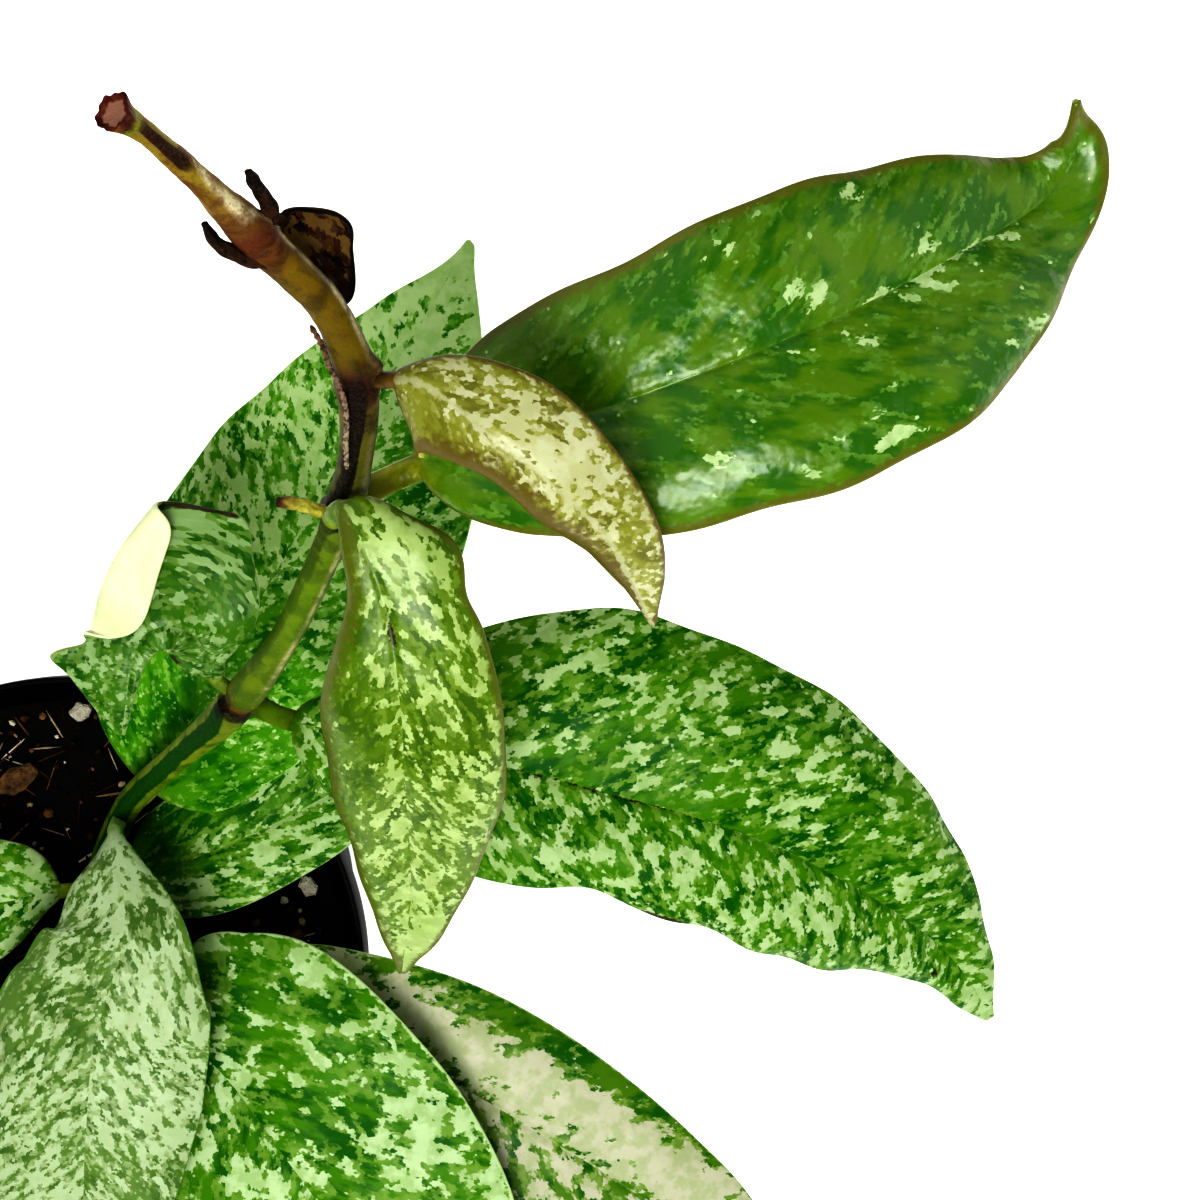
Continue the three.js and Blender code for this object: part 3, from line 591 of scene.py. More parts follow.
def blade_normal(leaf, route, v, s, e=1e-3):
    """The direction that the blade's upper side faces."""
    def beside(dv, ds):
        return blade_points(leaf, route, np.clip(v + dv, -1, 1), np.clip(s + ds, -1, 1))

    return unit(np.cross(beside(e, 0) - beside(-e, 0), beside(0, e) - beside(0, -e)))


def half_section(leaf, s, p, width, thick, thin, rounding):
    """Round half a section, from the midrib (p = 0) to the margin (p = 1), in the petiole and the blade.

    Returns how far out each point is as a share of the width, its half thickness, how far the margin
    has turned over and how flat the blade is there.
    """
    edge = np.minimum(thin, 0.8 * width)
    bend = np.clip((p - 1 + rounding) / rounding, 0, 1) * math.pi / 2
    inner = np.clip(p / (1 - rounding), 0, 1)
    inner = 0.5 * inner + 0.25 * (1 - np.cos(math.pi * inner))
    share = np.where(bend > 0, 1 - edge / width * (1 - np.sin(bend)), inner * (1 - edge / width))
    body = thin + (thick - thin) * (1 - share ** 2)
    body = np.minimum(body, np.maximum(width, 0.1))
    depth = np.where(bend > 0, thin, body) * np.cos(bend)

    flat = smoothstep(s, 0.0, PETIOLE_BLEND)
    swelling = 1 + STALK_SWELLING * np.exp(-((s + 1) / 0.18) ** 2)
    stalk = np.cos(p * math.pi / 2) * (leaf["petiole"] * STALK_FLATNESS) * swelling
    round_share = np.sin(p * math.pi / 2)
    share = share * flat + round_share * (1 - flat) * np.where(s < 0, swelling, 1)
    return share, depth * flat + stalk * (1 - flat), bend, flat


def skin_shift(look, x, y, s, share, depth, flat, hand, top):
    """How far the skin lies off the blade's middle: its thickness, waves, pillows, groove and keel."""
    ends = smoothstep(s, 0.0, 0.12) * smoothstep(s, 1.0, 0.93)
    wave = look["wave"] * waves(x, y, look["seed"]) * ends
    ruffle = 0.5 * look["wave"] * np.sin(math.tau * y / RUFFLE_LENGTH + 2 * hand + look["seed"])
    ruffle = ruffle * share ** 4 * ends
    quilt = PILLOW_HEIGHT * (quilting(x, y, look["angle"]) - 0.6) * ends * smoothstep(share, 1.0, 0.85)
    rib = smoothstep(s, 1.02, 0.7) * smoothstep(s, -0.6, 0.0)
    groove = -GROOVE_DEPTH * np.exp(-(x / GROOVE_REACH) ** 2) * rib
    keel = KEEL_HEIGHT * np.exp(-(x / KEEL_REACH) ** 2) * rib * (1 - 0.7 * np.maximum(s, 0))
    upper, lower = depth + (quilt + groove) * flat, -depth - keel * flat + quilt * flat
    return wave + ruffle + np.where(top, upper, lower)


def spots(marks, leaf, route, x, y):
    """How strongly each point is marked by a list of round marks."""
    start = route.shares[leaf.get("blade", 1)]
    total = np.zeros(len(x))
    for at, over, reach, breadth, strength in marks:
        centre_y = (start + at * (1 - start)) * route.length
        side = "right" if over > 0 else "left"
        centre_x = over * half_width(leaf, side, np.array([float(at)]))[0]
        distance = ((y - centre_y) / reach) ** 2 + ((x - centre_x) / breadth) ** 2
        total += strength * np.exp(-distance)
    return total


def leaf_piece(name, columns, rows):
    """A whole leaf as one closed skin: a round petiole that flattens into a blade with a midrib."""
    leaf, look = LEAVES[name], LOOKS[name]
    settings = bpy.context.scene.hoya_leaf
    route = Route(leaf["path"])
    start = route.shares[leaf.get("blade", 1)]
    petiole_rows = max(6, round(start * route.length / PETIOLE_ROW_LENGTH))
    thick, thin = settings.blade / MM / 2, settings.margin / MM / 2
    rounding = MARGIN_COLUMNS / (columns // 4)
    root = way_to_stem(leaf["path"][0])

    def place(u, w):
        """Points and marks at shares u round the section, the upper side first, and w along the leaf."""
        row = np.round(w * rows)
        q = np.maximum(0, (row - petiole_rows) / (rows - petiole_rows))
        s = 0.6 * q + 0.4 * (1 - np.cos(math.pi * q)) / 2
        s = np.where(row < petiole_rows, row / petiole_rows - 1, s)
        blade_s = np.maximum(s, 0)
        turn = 2 * u
        top = turn <= 1
        signed = np.where(top, 1 - 2 * turn, 2 * turn - 3)
        hand = np.where(signed < 0, -1.0, 1.0)
        width = np.where(hand > 0, half_width(leaf, "right", blade_s), half_width(leaf, "left", blade_s))
        share, depth, bend, flat = half_section(leaf, s, np.abs(signed), width, thick, thin, rounding)

        x = hand * share * width
        y = np.where(s < 0, start * (1 + s), start + blade_s * (1 - start)) * route.length
        v = np.clip(hand * share, -1, 1)
        first, last = row == 0, row == rows
        closed = first | last
        shift = np.where(closed, 0, skin_shift(look, x, y, s, share, depth, flat, hand, top))
        middle = blade_points(leaf, route, v, s)
        middle = np.where(closed[:, None], route.at(np.where(first, 0.0, 1.0)), middle)
        points = middle + blade_normal(leaf, route, v, s) * shift[:, None]
        points = points + smoothstep(-s, 0.6, 1.0)[:, None] * root

        left_margin, right_margin = look.get("margins", (1, 1))
        rim = (1 - share) * width / np.where(hand > 0, right_margin, left_margin)
        pale = look["amount"] + settings.more_splash
        extra = {
            "leaf": np.stack([x, y, np.where(top, 1.0, -1.0) * np.cos(bend)], -1),
            "pale": pale + spots(look.get("marks", ()), leaf, route, x, y),
            "burn": spots(look.get("burns_and_shade", ()), leaf, route, x, y),
            "rim": rim + np.where(s < 0, FAR_FROM_RIM, 0),
            "share": s,
        }
        return points, extra

    return finish_mesh(sheet_of_points(name, columns, rows, place))


# The share of a bar's rows that closes each of its ends.
CAP_SHARE = 0.02


def bar_piece(name, rows, around, along, shape=None, paint=None, dome=0.6):
    """A round bar along a route; shape(share, angle, radius) changes it, paint(share, angle) marks it."""
    route = Route(rows)
    radii = np.array([row[3] for row in rows], float)

    def place(u, w):
        """Points and marks at shares u around the bar and w along it, caps included."""
        body = np.clip((w - CAP_SHARE) / (1 - 2 * CAP_SHARE), 0, 1)
        index = np.searchsorted(route.shares, body, side="right") - 1
        index = np.clip(index, 0, len(radii) - 2)
        local = (body - route.shares[index]) / (route.shares[index + 1] - route.shares[index])
        radius = radii[index] + (radii[index + 1] - radii[index]) * smoothstep(local)
        angle = math.tau * u
        tangent = route.tangent(body)
        side = unit(np.cross(tangent, (0, 0, 1)))
        up = np.cross(side, tangent)
        cap = np.minimum(1, np.minimum(w, 1 - w) / CAP_SHARE)
        if shape:
            radius = shape(body, angle, radius)
        radius = radius * np.sin(cap * math.pi / 2) ** 0.5
        push = np.where(w < 0.5, -1, 1) * (1 - cap) * dome * radii[-1]
        radial = side * np.sin(angle)[:, None] + up * np.cos(angle)[:, None]
        points = route.at(body) + radial * radius[:, None] + tangent * push[:, None]
        extra = {"share": body, "cut": np.where(w > 0.5, 1 - cap, 0)}
        if paint:
            extra.update(paint(body, angle))
        return points, extra

    return finish_mesh(sheet_of_points(name, around, along, place))


# The side of the stem that carries the fuzz and its painted highlight, in radians from its front, and the
# amount from which the fuzz spreads over the front.
FUZZ_AND_SHEEN_ANGLE = 1.1
THICK_FUZZ = 0.9


def between(a, b):
    """The turn from angle b to angle a, between minus and plus half a turn."""
    return np.angle(np.exp(1j * (a - b)))


def stem_paint(route):
    """Where the front's tone and the fuzz, partly a painted highlight, lie on the main stem."""
    table = np.array(STEM_PAINT, float)
    table_shares = np.interp(table[:, 0], np.arange(len(route.shares)), route.shares)

    def paint(share, angle):
        middle, half, strength, fuzz = (np.interp(share, table_shares, table[:, k]) for k in range(1, 5))
        thick = np.maximum(fuzz - THICK_FUZZ, 0)
        off_front = np.abs(between(angle, middle))
        off_fuzz_and_sheen = np.abs(between(angle, FUZZ_AND_SHEEN_ANGLE - 1.2 * thick))
        return {
            "front": strength * smoothstep(off_front, half * 1.5, half * 0.6),
            "fuzz": fuzz * smoothstep(off_fuzz_and_sheen, 0.36 + 0.7 * thick, 0.05),
        }

    return paint


# Shader nodes

# A splash's edge is made of small cells, drawn out a little along the splash.
CELL_SQUEEZE = 0.7
# The finest grain on stalks and crumbs.
FINE_GRAIN = 0.0003


class Nodes:
    """Adds nodes to a tree. An input may be a socket or a plain value."""

    def __init__(self, tree):
        self.tree = tree

    def add(self, kind, inputs=None, **settings):
        node = self.tree.nodes.new(kind)
        for label, value in settings.items():
            setattr(node, label, value)
        self.fill(node, inputs or {})
        return node

    def fill(self, node, inputs):
        for key, value in inputs.items():
            if isinstance(value, bpy.types.NodeSocket):
                self.tree.links.new(value, node.inputs[key])
            else:
                node.inputs[key].default_value = value

    def math(self, operation, a, b=0.0, clamp=False):
        return self.add("ShaderNodeMath", {0: a, 1: b}, operation=operation, use_clamp=clamp).outputs[0]

    def plus(self, a, b):
        return self.math("ADD", a, b)

    def times(self, a, b):
        return self.math("MULTIPLY", a, b)

    def swing(self, value, reach):
        """A noise around a half, moved to nought and scaled."""
        return self.times(self.math("SUBTRACT", value, 0.5), reach)

    def step(self, value, low, high, start=0.0, end=1.0):
        inputs = {"Value": value, "From Min": low, "From Max": high, "To Min": start, "To Max": end}
        return self.add("ShaderNodeMapRange", inputs, interpolation_type="SMOOTHSTEP").outputs[0]

    def noise(self, vector, scale, detail=2.0, roughness=0.5, distortion=0.0):
        inputs = {"Vector": vector, "Scale": scale, "Detail": detail, "Roughness": roughness,
                  "Distortion": distortion}
        return self.add("ShaderNodeTexNoise", inputs).outputs[0]

    def mix(self, factor, a, b):
        return self.add("ShaderNodeMix", {0: factor, 6: a, 7: b}, data_type="RGBA").outputs[2]

    def combine(self, x, y, z):
        return self.add("ShaderNodeCombineXYZ", {0: x, 1: y, 2: z}).outputs[0]

    def separate(self, vector):
        return self.add("ShaderNodeSeparateXYZ", {0: vector}).outputs

    def attribute(self, label, output="Fac"):
        return self.add("ShaderNodeAttribute", attribute_name=label).outputs[output]

    def ramp(self, value, stops):
        node = self.add("ShaderNodeValToRGB", {0: value})
        elements = node.color_ramp.elements
        while len(elements) > 1:
            elements.remove(elements[-1])
        elements[0].position, elements[0].color = stops[0]
        for position, tint in stops[1:]:
            element = elements.new(position)
            element.color = tint
        return node.outputs[0]


def new_group(name, place, values, outputs):
    """A node group that reads a place and values and puts out masks; returns its tree, nodes and inputs."""
    tree = bpy.data.node_groups.new(name, "ShaderNodeTree")
    tree.interface.new_socket(place, in_out="INPUT", socket_type="NodeSocketVector")
    for label, default in values.items():
        socket = tree.interface.new_socket(label, in_out="INPUT", socket_type="NodeSocketFloat")
        socket.default_value = default
    for label in outputs:
        tree.interface.new_socket(label, in_out="OUTPUT", socket_type="NodeSocketFloat")
    nodes = Nodes(tree)
    return tree, nodes, nodes.add("NodeGroupInput").outputs


def use_group(nodes, name, inputs):
    """Places a node group with its own values, building it first if need be, and returns its outputs."""
    tree = bpy.data.node_groups.get(name) or GROUPS[name](name)
    node = nodes.add("ShaderNodeGroup", node_tree=tree)
    nodes.fill(node, inputs)
    return node.outputs


def splash_group(name):
    """Pale splashes with ragged edges that lean out along the side veins."""
    tree, n, given = new_group(
        name, "Leaf",
        {"Amount": 0.0, "Seed": 0.0, "Length": 5.0, "Width": 2.0, "Angle": 0.6, "Cell": 0.34},
        ["Splash", "Half Tone", "Streaks", "Specks"])
    x, y, _ = n.separate(given["Leaf"])
    out = n.math("ABSOLUTE", x)
    seed = n.plus(n.times(n.math("SIGN", x), 7.3), given["Seed"])
    sine, cosine = n.math("SINE", given["Angle"]), n.math("COSINE", given["Angle"])
    along = n.plus(n.times(out, sine), n.times(y, cosine))
    over = n.math("SUBTRACT", n.times(y, sine), n.times(out, cosine))
    here = n.combine(along, over, seed)
    squeezed = n.combine(n.times(along, CELL_SQUEEZE), over, seed)
    inverse = n.math("DIVIDE", 1.0, given["Cell"])
    cell = n.add("ShaderNodeTexVoronoi", {"Vector": squeezed, "Scale": inverse}).outputs["Position"]
    cell_x, cell_y, _ = n.separate(cell)
    cell_x = n.math("DIVIDE", cell_x, CELL_SQUEEZE)
    long_x, wide_y = n.math("DIVIDE", cell_x, given["Length"]), n.math("DIVIDE", cell_y, given["Width"])
    stretched = n.combine(long_x, wide_y, seed)
    crumbled = n.combine(cell_x, cell_y, seed)
    broad = n.swing(n.noise(stretched, 1.0, 3.0, 0.55), 4.2)
    small = n.swing(n.noise(crumbled, 0.75, 2.0, 0.5), 3.0)
    patch = n.swing(n.noise(here, 0.07, 1.0, 0.5), 1.2)
    value = n.plus(n.plus(broad, patch), given["Amount"])
    edged = n.plus(value, n.times(small, 0.45))
    crumbs = n.plus(n.times(value, 0.55), n.math("SUBTRACT", small, 0.32))
    splash = n.step(n.math("MAXIMUM", edged, crumbs), 0.0, 0.07)
    halo = n.plus(n.times(value, 0.5), n.swing(n.noise(stretched, 1.7, 3.0, 0.6), 4.0))
    half = n.step(halo, -0.22, 0.05)
    streaks = n.noise(n.combine(n.times(along, 0.35), over, seed), 0.5, 3.0, 0.6)
    dots = n.add("ShaderNodeTexVoronoi", {"Vector": here, "Scale": 0.55})
    chance, size, _ = n.separate(dots.outputs["Color"])
    speck = n.math("LESS_THAN", dots.outputs["Distance"], n.times(size, 0.14))
    speck = n.times(speck, n.math("GREATER_THAN", chance, 0.55))
    n.add("NodeGroupOutput", {0: splash, 1: half, 2: streaks, 3: speck})
    return tree


def relief_group(name):
    """The fine relief of a waxy blade: shallow dimples and fine grain."""
    tree, n, given = new_group(name, "Leaf", {"Dimples": 1.0}, ["Height"])
    dimples = n.noise(given["Leaf"], 0.3, 2.0, 0.45)
    grain = n.noise(given["Leaf"], 2.4, 2.0, 0.5)
    height = n.plus(n.times(dimples, given["Dimples"]), n.times(grain, 0.05))
    n.add("NodeGroupOutput", {0: height})
    return tree


def mottle_group(name):
    """Cloudy patches and fine grain on Object coordinates, for bark, soil, plastic and stalks."""
    tree, n, given = new_group(
        name, "Place", {"Patch Size": 0.004, "Grain Size": 0.0006}, ["Patches", "Grain"])
    patch_scale = n.math("DIVIDE", 1.0, given["Patch Size"])
    grain_scale = n.math("DIVIDE", 1.0, given["Grain Size"])
    patches = n.noise(given["Place"], patch_scale, 4.0, 0.6, 0.3)
    patches = n.math("ADD", n.swing(patches, 2.5), 0.5, clamp=True)
    grain = n.noise(given["Place"], grain_scale, 3.0, 0.6)
    n.add("NodeGroupOutput", {0: patches, 1: grain})
    return tree


GROUPS = {"Hoya Splash": splash_group, "Hoya Relief": relief_group, "Hoya Mottle": mottle_group}


def new_material(name, roughness, specular):
    """A material with one Principled shader; returns it, its nodes and the shader."""
    material = bpy.data.materials.new(name)
    material.use_nodes = True
    nodes = Nodes(material.node_tree)
    shader = material.node_tree.nodes["Principled BSDF"]
    shader.inputs["Roughness"].default_value = roughness
    shader.inputs["Specular IOR Level"].default_value = specular
    return material, nodes, shader


def bump(nodes, shader, height, distance, strength=1.0):
    node = nodes.add("ShaderNodeBump", {"Height": height, "Distance": distance, "Strength": strength})
    nodes.tree.links.new(node.outputs[0], shader.inputs["Normal"])


def object_place(nodes):
    return nodes.add("ShaderNodeTexCoord").outputs["Object"]


def leaf_material(name):
    """The finish of one leaf: green tones, splashes, specks, a margin line and a plainer underside."""
    look = LOOKS[name]
    skin = dict(zip(SKIN_PARTS, SKINS[look["skin"]]))
    material, n, shader = new_material(f"{name} skin", skin["gloss"], specular=skin["shine"])
    leaf = n.attribute("leaf", "Vector")
    pale, rim, share = (n.attribute(label) for label in ("pale", "rim", "share"))
    side = n.separate(leaf)[2]
    splash, half, streaks, specks = use_group(n, "Hoya Splash", {
        "Leaf": leaf, "Amount": pale, "Seed": float(look["seed"]), "Length": float(look["length"]),
        "Width": float(look["width"]), "Angle": math.radians(look["angle"])})
    tone = n.noise(leaf, 0.1, 2.0, 0.5)
    tone = n.plus(n.times(tone, 0.5), n.times(streaks, 0.5))
    green = n.mix(n.step(tone, 0.42, 0.56), colour(skin["deep"]), colour(skin["fresh"]))
    half_strength = n.times(half, n.step(n.noise(leaf, 0.7, 2.0), 0.35, 0.65, 0.55, 0.95))
    body = n.mix(half_strength, green, colour(skin["half"]))
    tint = n.noise(leaf, 0.35, 3.0, 0.6)
    pale_tone = n.mix(n.step(tint, 0.4, 0.6, 0.0, 0.38), colour(skin["splash"]), colour(skin["half"]))
    body = n.mix(splash, body, pale_tone)
    body = n.mix(n.times(specks, 0.7), body, colour(skin["splash"]))
    ragged = n.plus(rim, n.swing(n.noise(leaf, 0.9, 3.0), 1.0))
    edge = n.step(ragged, skin["edge_width"], skin["edge_width"] * 0.4)
    body = n.mix(edge, body, colour(look.get("edge", skin["edge"])))
    if "midrib" in look:
        off = n.plus(n.math("ABSOLUTE", n.separate(leaf)[0]), n.noise(leaf, 1.2, 2.0))
        body = n.mix(n.step(off, 0.85, 0.6, 0.0, 0.75), body, colour(look["midrib"]))
    # Brown burns, and painted shade where a burn mark lies in a crease.
    burn_and_shade_mask = n.plus(n.attribute("burn"), n.swing(n.noise(leaf, 1.6, 3.0), 1.6))
    body = n.mix(n.step(burn_and_shade_mask, 0.4, 0.7, 0.0, 0.9), body, colour(BURN_AND_SHADE))
    stalk = colour(look["stalk"]) if "stalk" in look else tuple(bpy.context.scene.hoya_stem.petiole)
    stalk = n.mix(n.step(tint, 0.35, 0.7), stalk, colour(look.get("stalk_light", STALK_LIGHT)))
    body = n.mix(n.step(share, 0.035, -0.03), body, stalk)
    under = n.mix(n.step(tone, 0.3, 0.7, 0.0, 0.35), colour(skin["under"]), colour(skin["half"]))
    facing = n.step(side, -0.15, 0.15)
    base = n.mix(facing, under, body)
    n.tree.links.new(base, shader.inputs["Base Color"])
    shine = n.step(n.noise(leaf, 0.5, 2.0), 0.3, 0.7, skin["gloss"] * 0.8, skin["gloss"] * 1.3)
    n.tree.links.new(shine, shader.inputs["Roughness"])
    height = use_group(n, "Hoya Relief", {"Leaf": leaf, "Dimples": look.get("dimples", 1.0)})[0]
    bump(n, shader, height, 0.00025, 0.8)
    return material


def bar_material(name, stops, patch=0.004, roughness=0.5, heart=None):
    """A stem's or stalk's skin: its colours along its length, cloudy patches, fine grain, and fuzz that on
    the stem's right side is partly a painted highlight.
    """
    material, n, shader = new_material(name, roughness, specular=0.15)
    patches, grain = use_group(n, "Hoya Mottle", {
        "Place": object_place(n), "Patch Size": patch, "Grain Size": FINE_GRAIN})
    fuzz_and_sheen_colour = tuple(bpy.context.scene.hoya_stem.fuzz)
    shifted = n.plus(n.attribute("share"), n.swing(patches, 0.012))
    tones = []
    for part in range(1, len(stops[0])):
        tones.append(n.ramp(shifted, [(stop[0], colour(stop[part])) for stop in stops]))
    base = n.mix(n.step(n.plus(patches, n.swing(grain, 0.8)), 0.3, 0.8), tones[0], tones[1])
    if len(tones) > 2:
        ragged = n.plus(n.attribute("front"), n.swing(patches, 0.5))
        base = n.mix(n.step(ragged, 0.3, 0.7), base, tones[2])
        # The pale band down the stem's right side: fuzz, and partly a painted highlight where that side
        # catches the light.
        fuzz = n.times(n.attribute("fuzz"), n.step(grain, 0.3, 0.6, 0.35, 0.95))
        fuzz = n.math("MULTIPLY", fuzz, n.step(patches, 0.75, 0.35, 0.3, 1.0), clamp=True)
        base = n.mix(fuzz, base, fuzz_and_sheen_colour)
    base = n.mix(n.step(grain, 0.42, 0.7, 0.0, 0.05), base, fuzz_and_sheen_colour)
    if heart:
        torn = n.plus(n.attribute("cut"), n.swing(patches, 0.3))
        base = n.mix(n.step(torn, 0.62, 0.78), base, colour(heart))
    n.tree.links.new(base, shader.inputs["Base Color"])
    bump(n, shader, n.plus(n.times(patches, 0.5), n.times(grain, 0.4)), 0.0003, 0.8)
    return material


def grain_material(name, light, dark, patch, grain, roughness, depth=0.0005, specular=0.25):
    """A dull grained finish: potting mix, bark, perlite and the pot's moulded plastic."""
    material, n, shader = new_material(name, roughness, specular=specular)
    patches, fine = use_group(n, "Hoya Mottle", {
        "Place": object_place(n), "Patch Size": patch, "Grain Size": grain})
    base = n.mix(n.times(fine, 0.4), n.mix(patches, dark, light), dark)
    n.tree.links.new(base, shader.inputs["Base Color"])
    bump(n, shader, n.plus(patches, fine), depth, 0.8)
    return material


# From black soil through brown bark to pale fibre.
CRUMB_TONES = [
    (0.0, "050403"), (0.6, "1a120c"), (0.8, "4a2e18"), (0.9, "8a6236"), (0.97, "cdbb98"), (1.0, "f2ead8"),
]


def crumb_material(name):
    """Loose crumbs, each with a tone of its own between black soil and pale fibre."""
    material, n, shader = new_material(name, 0.9, specular=0.2)
    base = n.ramp(n.attribute("tone"), [(at, colour(code)) for at, code in CRUMB_TONES])
    patches, fine = use_group(n, "Hoya Mottle", {
        "Place": object_place(n), "Patch Size": 0.001, "Grain Size": FINE_GRAIN})
    base = n.mix(n.times(patches, 0.5), base, colour("0c0805"))
    n.tree.links.new(base, shader.inputs["Base Color"])
    bump(n, shader, fine, 0.0002)
    return material


# The soil

# The soil's mean height and the height of its mounds, the height of its underside and shoulder,
# and its radius at the foot and along the rim.
SOIL_TOP = 85.5
SOIL_BUMP = 0.7
SOIL_FLOOR = 1.8
SOIL_SHOULDER = 82.0
SOIL_FOOT = 34.8
SOIL_WALL = 48.2
# How rough its surface is, and how fine.
SOIL_ROUGHNESS = 0.55
SOIL_LUMP = 0.45
SOIL_RINGS, SOIL_SIDE_ROWS, SOIL_COLUMNS = 78, 12, 200
# The share of crumbs that are fibres, and the shortest and longest fibre and crumb.
FIBRE_SHARE = 0.2
FIBRE_LENGTHS = (2.0, 7.0)
CRUMB_SIZES = (0.5, 1.9)
CRUMB_CIRCLE = 46.5
CRUMB_SEED = 7


def soil_height(x, y):
    mounds = np.sin(x * 0.21 + 1) * np.cos(y * 0.17) + 0.6 * np.sin(x * 0.43 - y * 0.37)
    return SOIL_TOP + SOIL_BUMP * mounds


def scatter(count):
    """Even random places on the soil, the same each run, and the generator that goes on from there."""
    draw = np.random.default_rng(CRUMB_SEED)
    reach = CRUMB_CIRCLE * np.sqrt(draw.random(count))
    angle = math.tau * draw.random(count)
    return draw, reach * np.cos(angle), reach * np.sin(angle)


# The pot's outside and its rim, from the middle of its foot, each point a radius and a height.
POT_OUTSIDE = [
    (0, 0), (33.6, 0), (34, 0.1), (36.9, 0.9), (37.4, 1.4), (38, 3), (49.1, 82.2), (49.4, 82.8),
    (51.6, 83.2), (52.3, 83.6), (52.5, 84.2), (52.5, 89.3), (52.35, 89.8), (51.95, 90),
    (51.5, 89.9), (51.3, 89.5), (50.2, 84.4),
]
POT_ROW_HEIGHT = 6
POT_COLUMNS = 168
# The drain holes: how many, their radius, and the radius of the circle that they stand on.
HOLES, HOLE_RADIUS, HOLE_CIRCLE = 6, 3.5, 27


class HOYA_OT_add_pot(bpy.types.Operator):
    """Adds the round nursery pot with its turned-out rim and drain holes"""
    bl_idname = "hoya.add_pot"
    bl_label = "Add pot"

    def execute(self, context):
        settings = context.scene.hoya_pot
        wall = settings.wall / MM
        inside = [(49.3 - wall, 82), (38 - wall, 3), (36.6 - wall, 1.7), (35.4, 1.5), (0, 1.5)]
        profile = POT_OUTSIDE + inside
        radii = np.array([p[0] for p in profile], float)
        heights = np.array([p[1] for p in profile], float)
        steps = np.concatenate([[0], np.cumsum(np.hypot(np.diff(radii), np.diff(heights)))])
        even = []
        for a, b in zip(steps[:-1], steps[1:]):
            count = max(1, int((b - a) / POT_ROW_HEIGHT))
            even.extend(np.linspace(a, b, count, endpoint=False))
        even.append(steps[-1])
        even = np.array(even)
        rows = len(even) - 1

        def place(u, w):
            at = even[np.round(w * rows).astype(int)]
            radius = np.interp(at, steps, radii)
            height = np.interp(at, steps, heights)
            angle = math.tau * u
            points = np.stack([radius * np.cos(angle), radius * np.sin(angle), height], -1)
            return points, {}

        pot = finish_mesh(sheet_of_points("pot_shell", POT_COLUMNS, rows, place), merge=1e-5, angle=40)
        self.drill(pot)
        finish_mesh(pot, merge=1e-6, angle=40)
        material = grain_material("Pot plastic", settings.plastic, colour("030303"), 0.02, 0.0006, 0.5,
                                  depth=0.00006, specular=0.12)
        stand_for(pot, "pot", material)
        return {"FINISHED"}

    def drill(self, pot):
        """Cuts the drain holes through the pot's floor."""
        for i in range(HOLES):
            angle = math.tau * (i + 0.5) / HOLES
            deselect()
            bpy.ops.mesh.primitive_cylinder_add(
                vertices=32, radius=HOLE_RADIUS * MM, depth=6 * MM,
                location=(HOLE_CIRCLE * MM * math.cos(angle), HOLE_CIRCLE * MM * math.sin(angle), 0.7 * MM))
            cutter = bpy.context.object
            bpy.context.view_layer.objects.active = pot
            cut = pot.modifiers.new("drain", "BOOLEAN")
            cut.operation = "DIFFERENCE"
            cut.solver = "EXACT"
            cut.object = cutter
            bpy.ops.object.modifier_apply(modifier=cut.name)
            bpy.data.objects.remove(cutter)


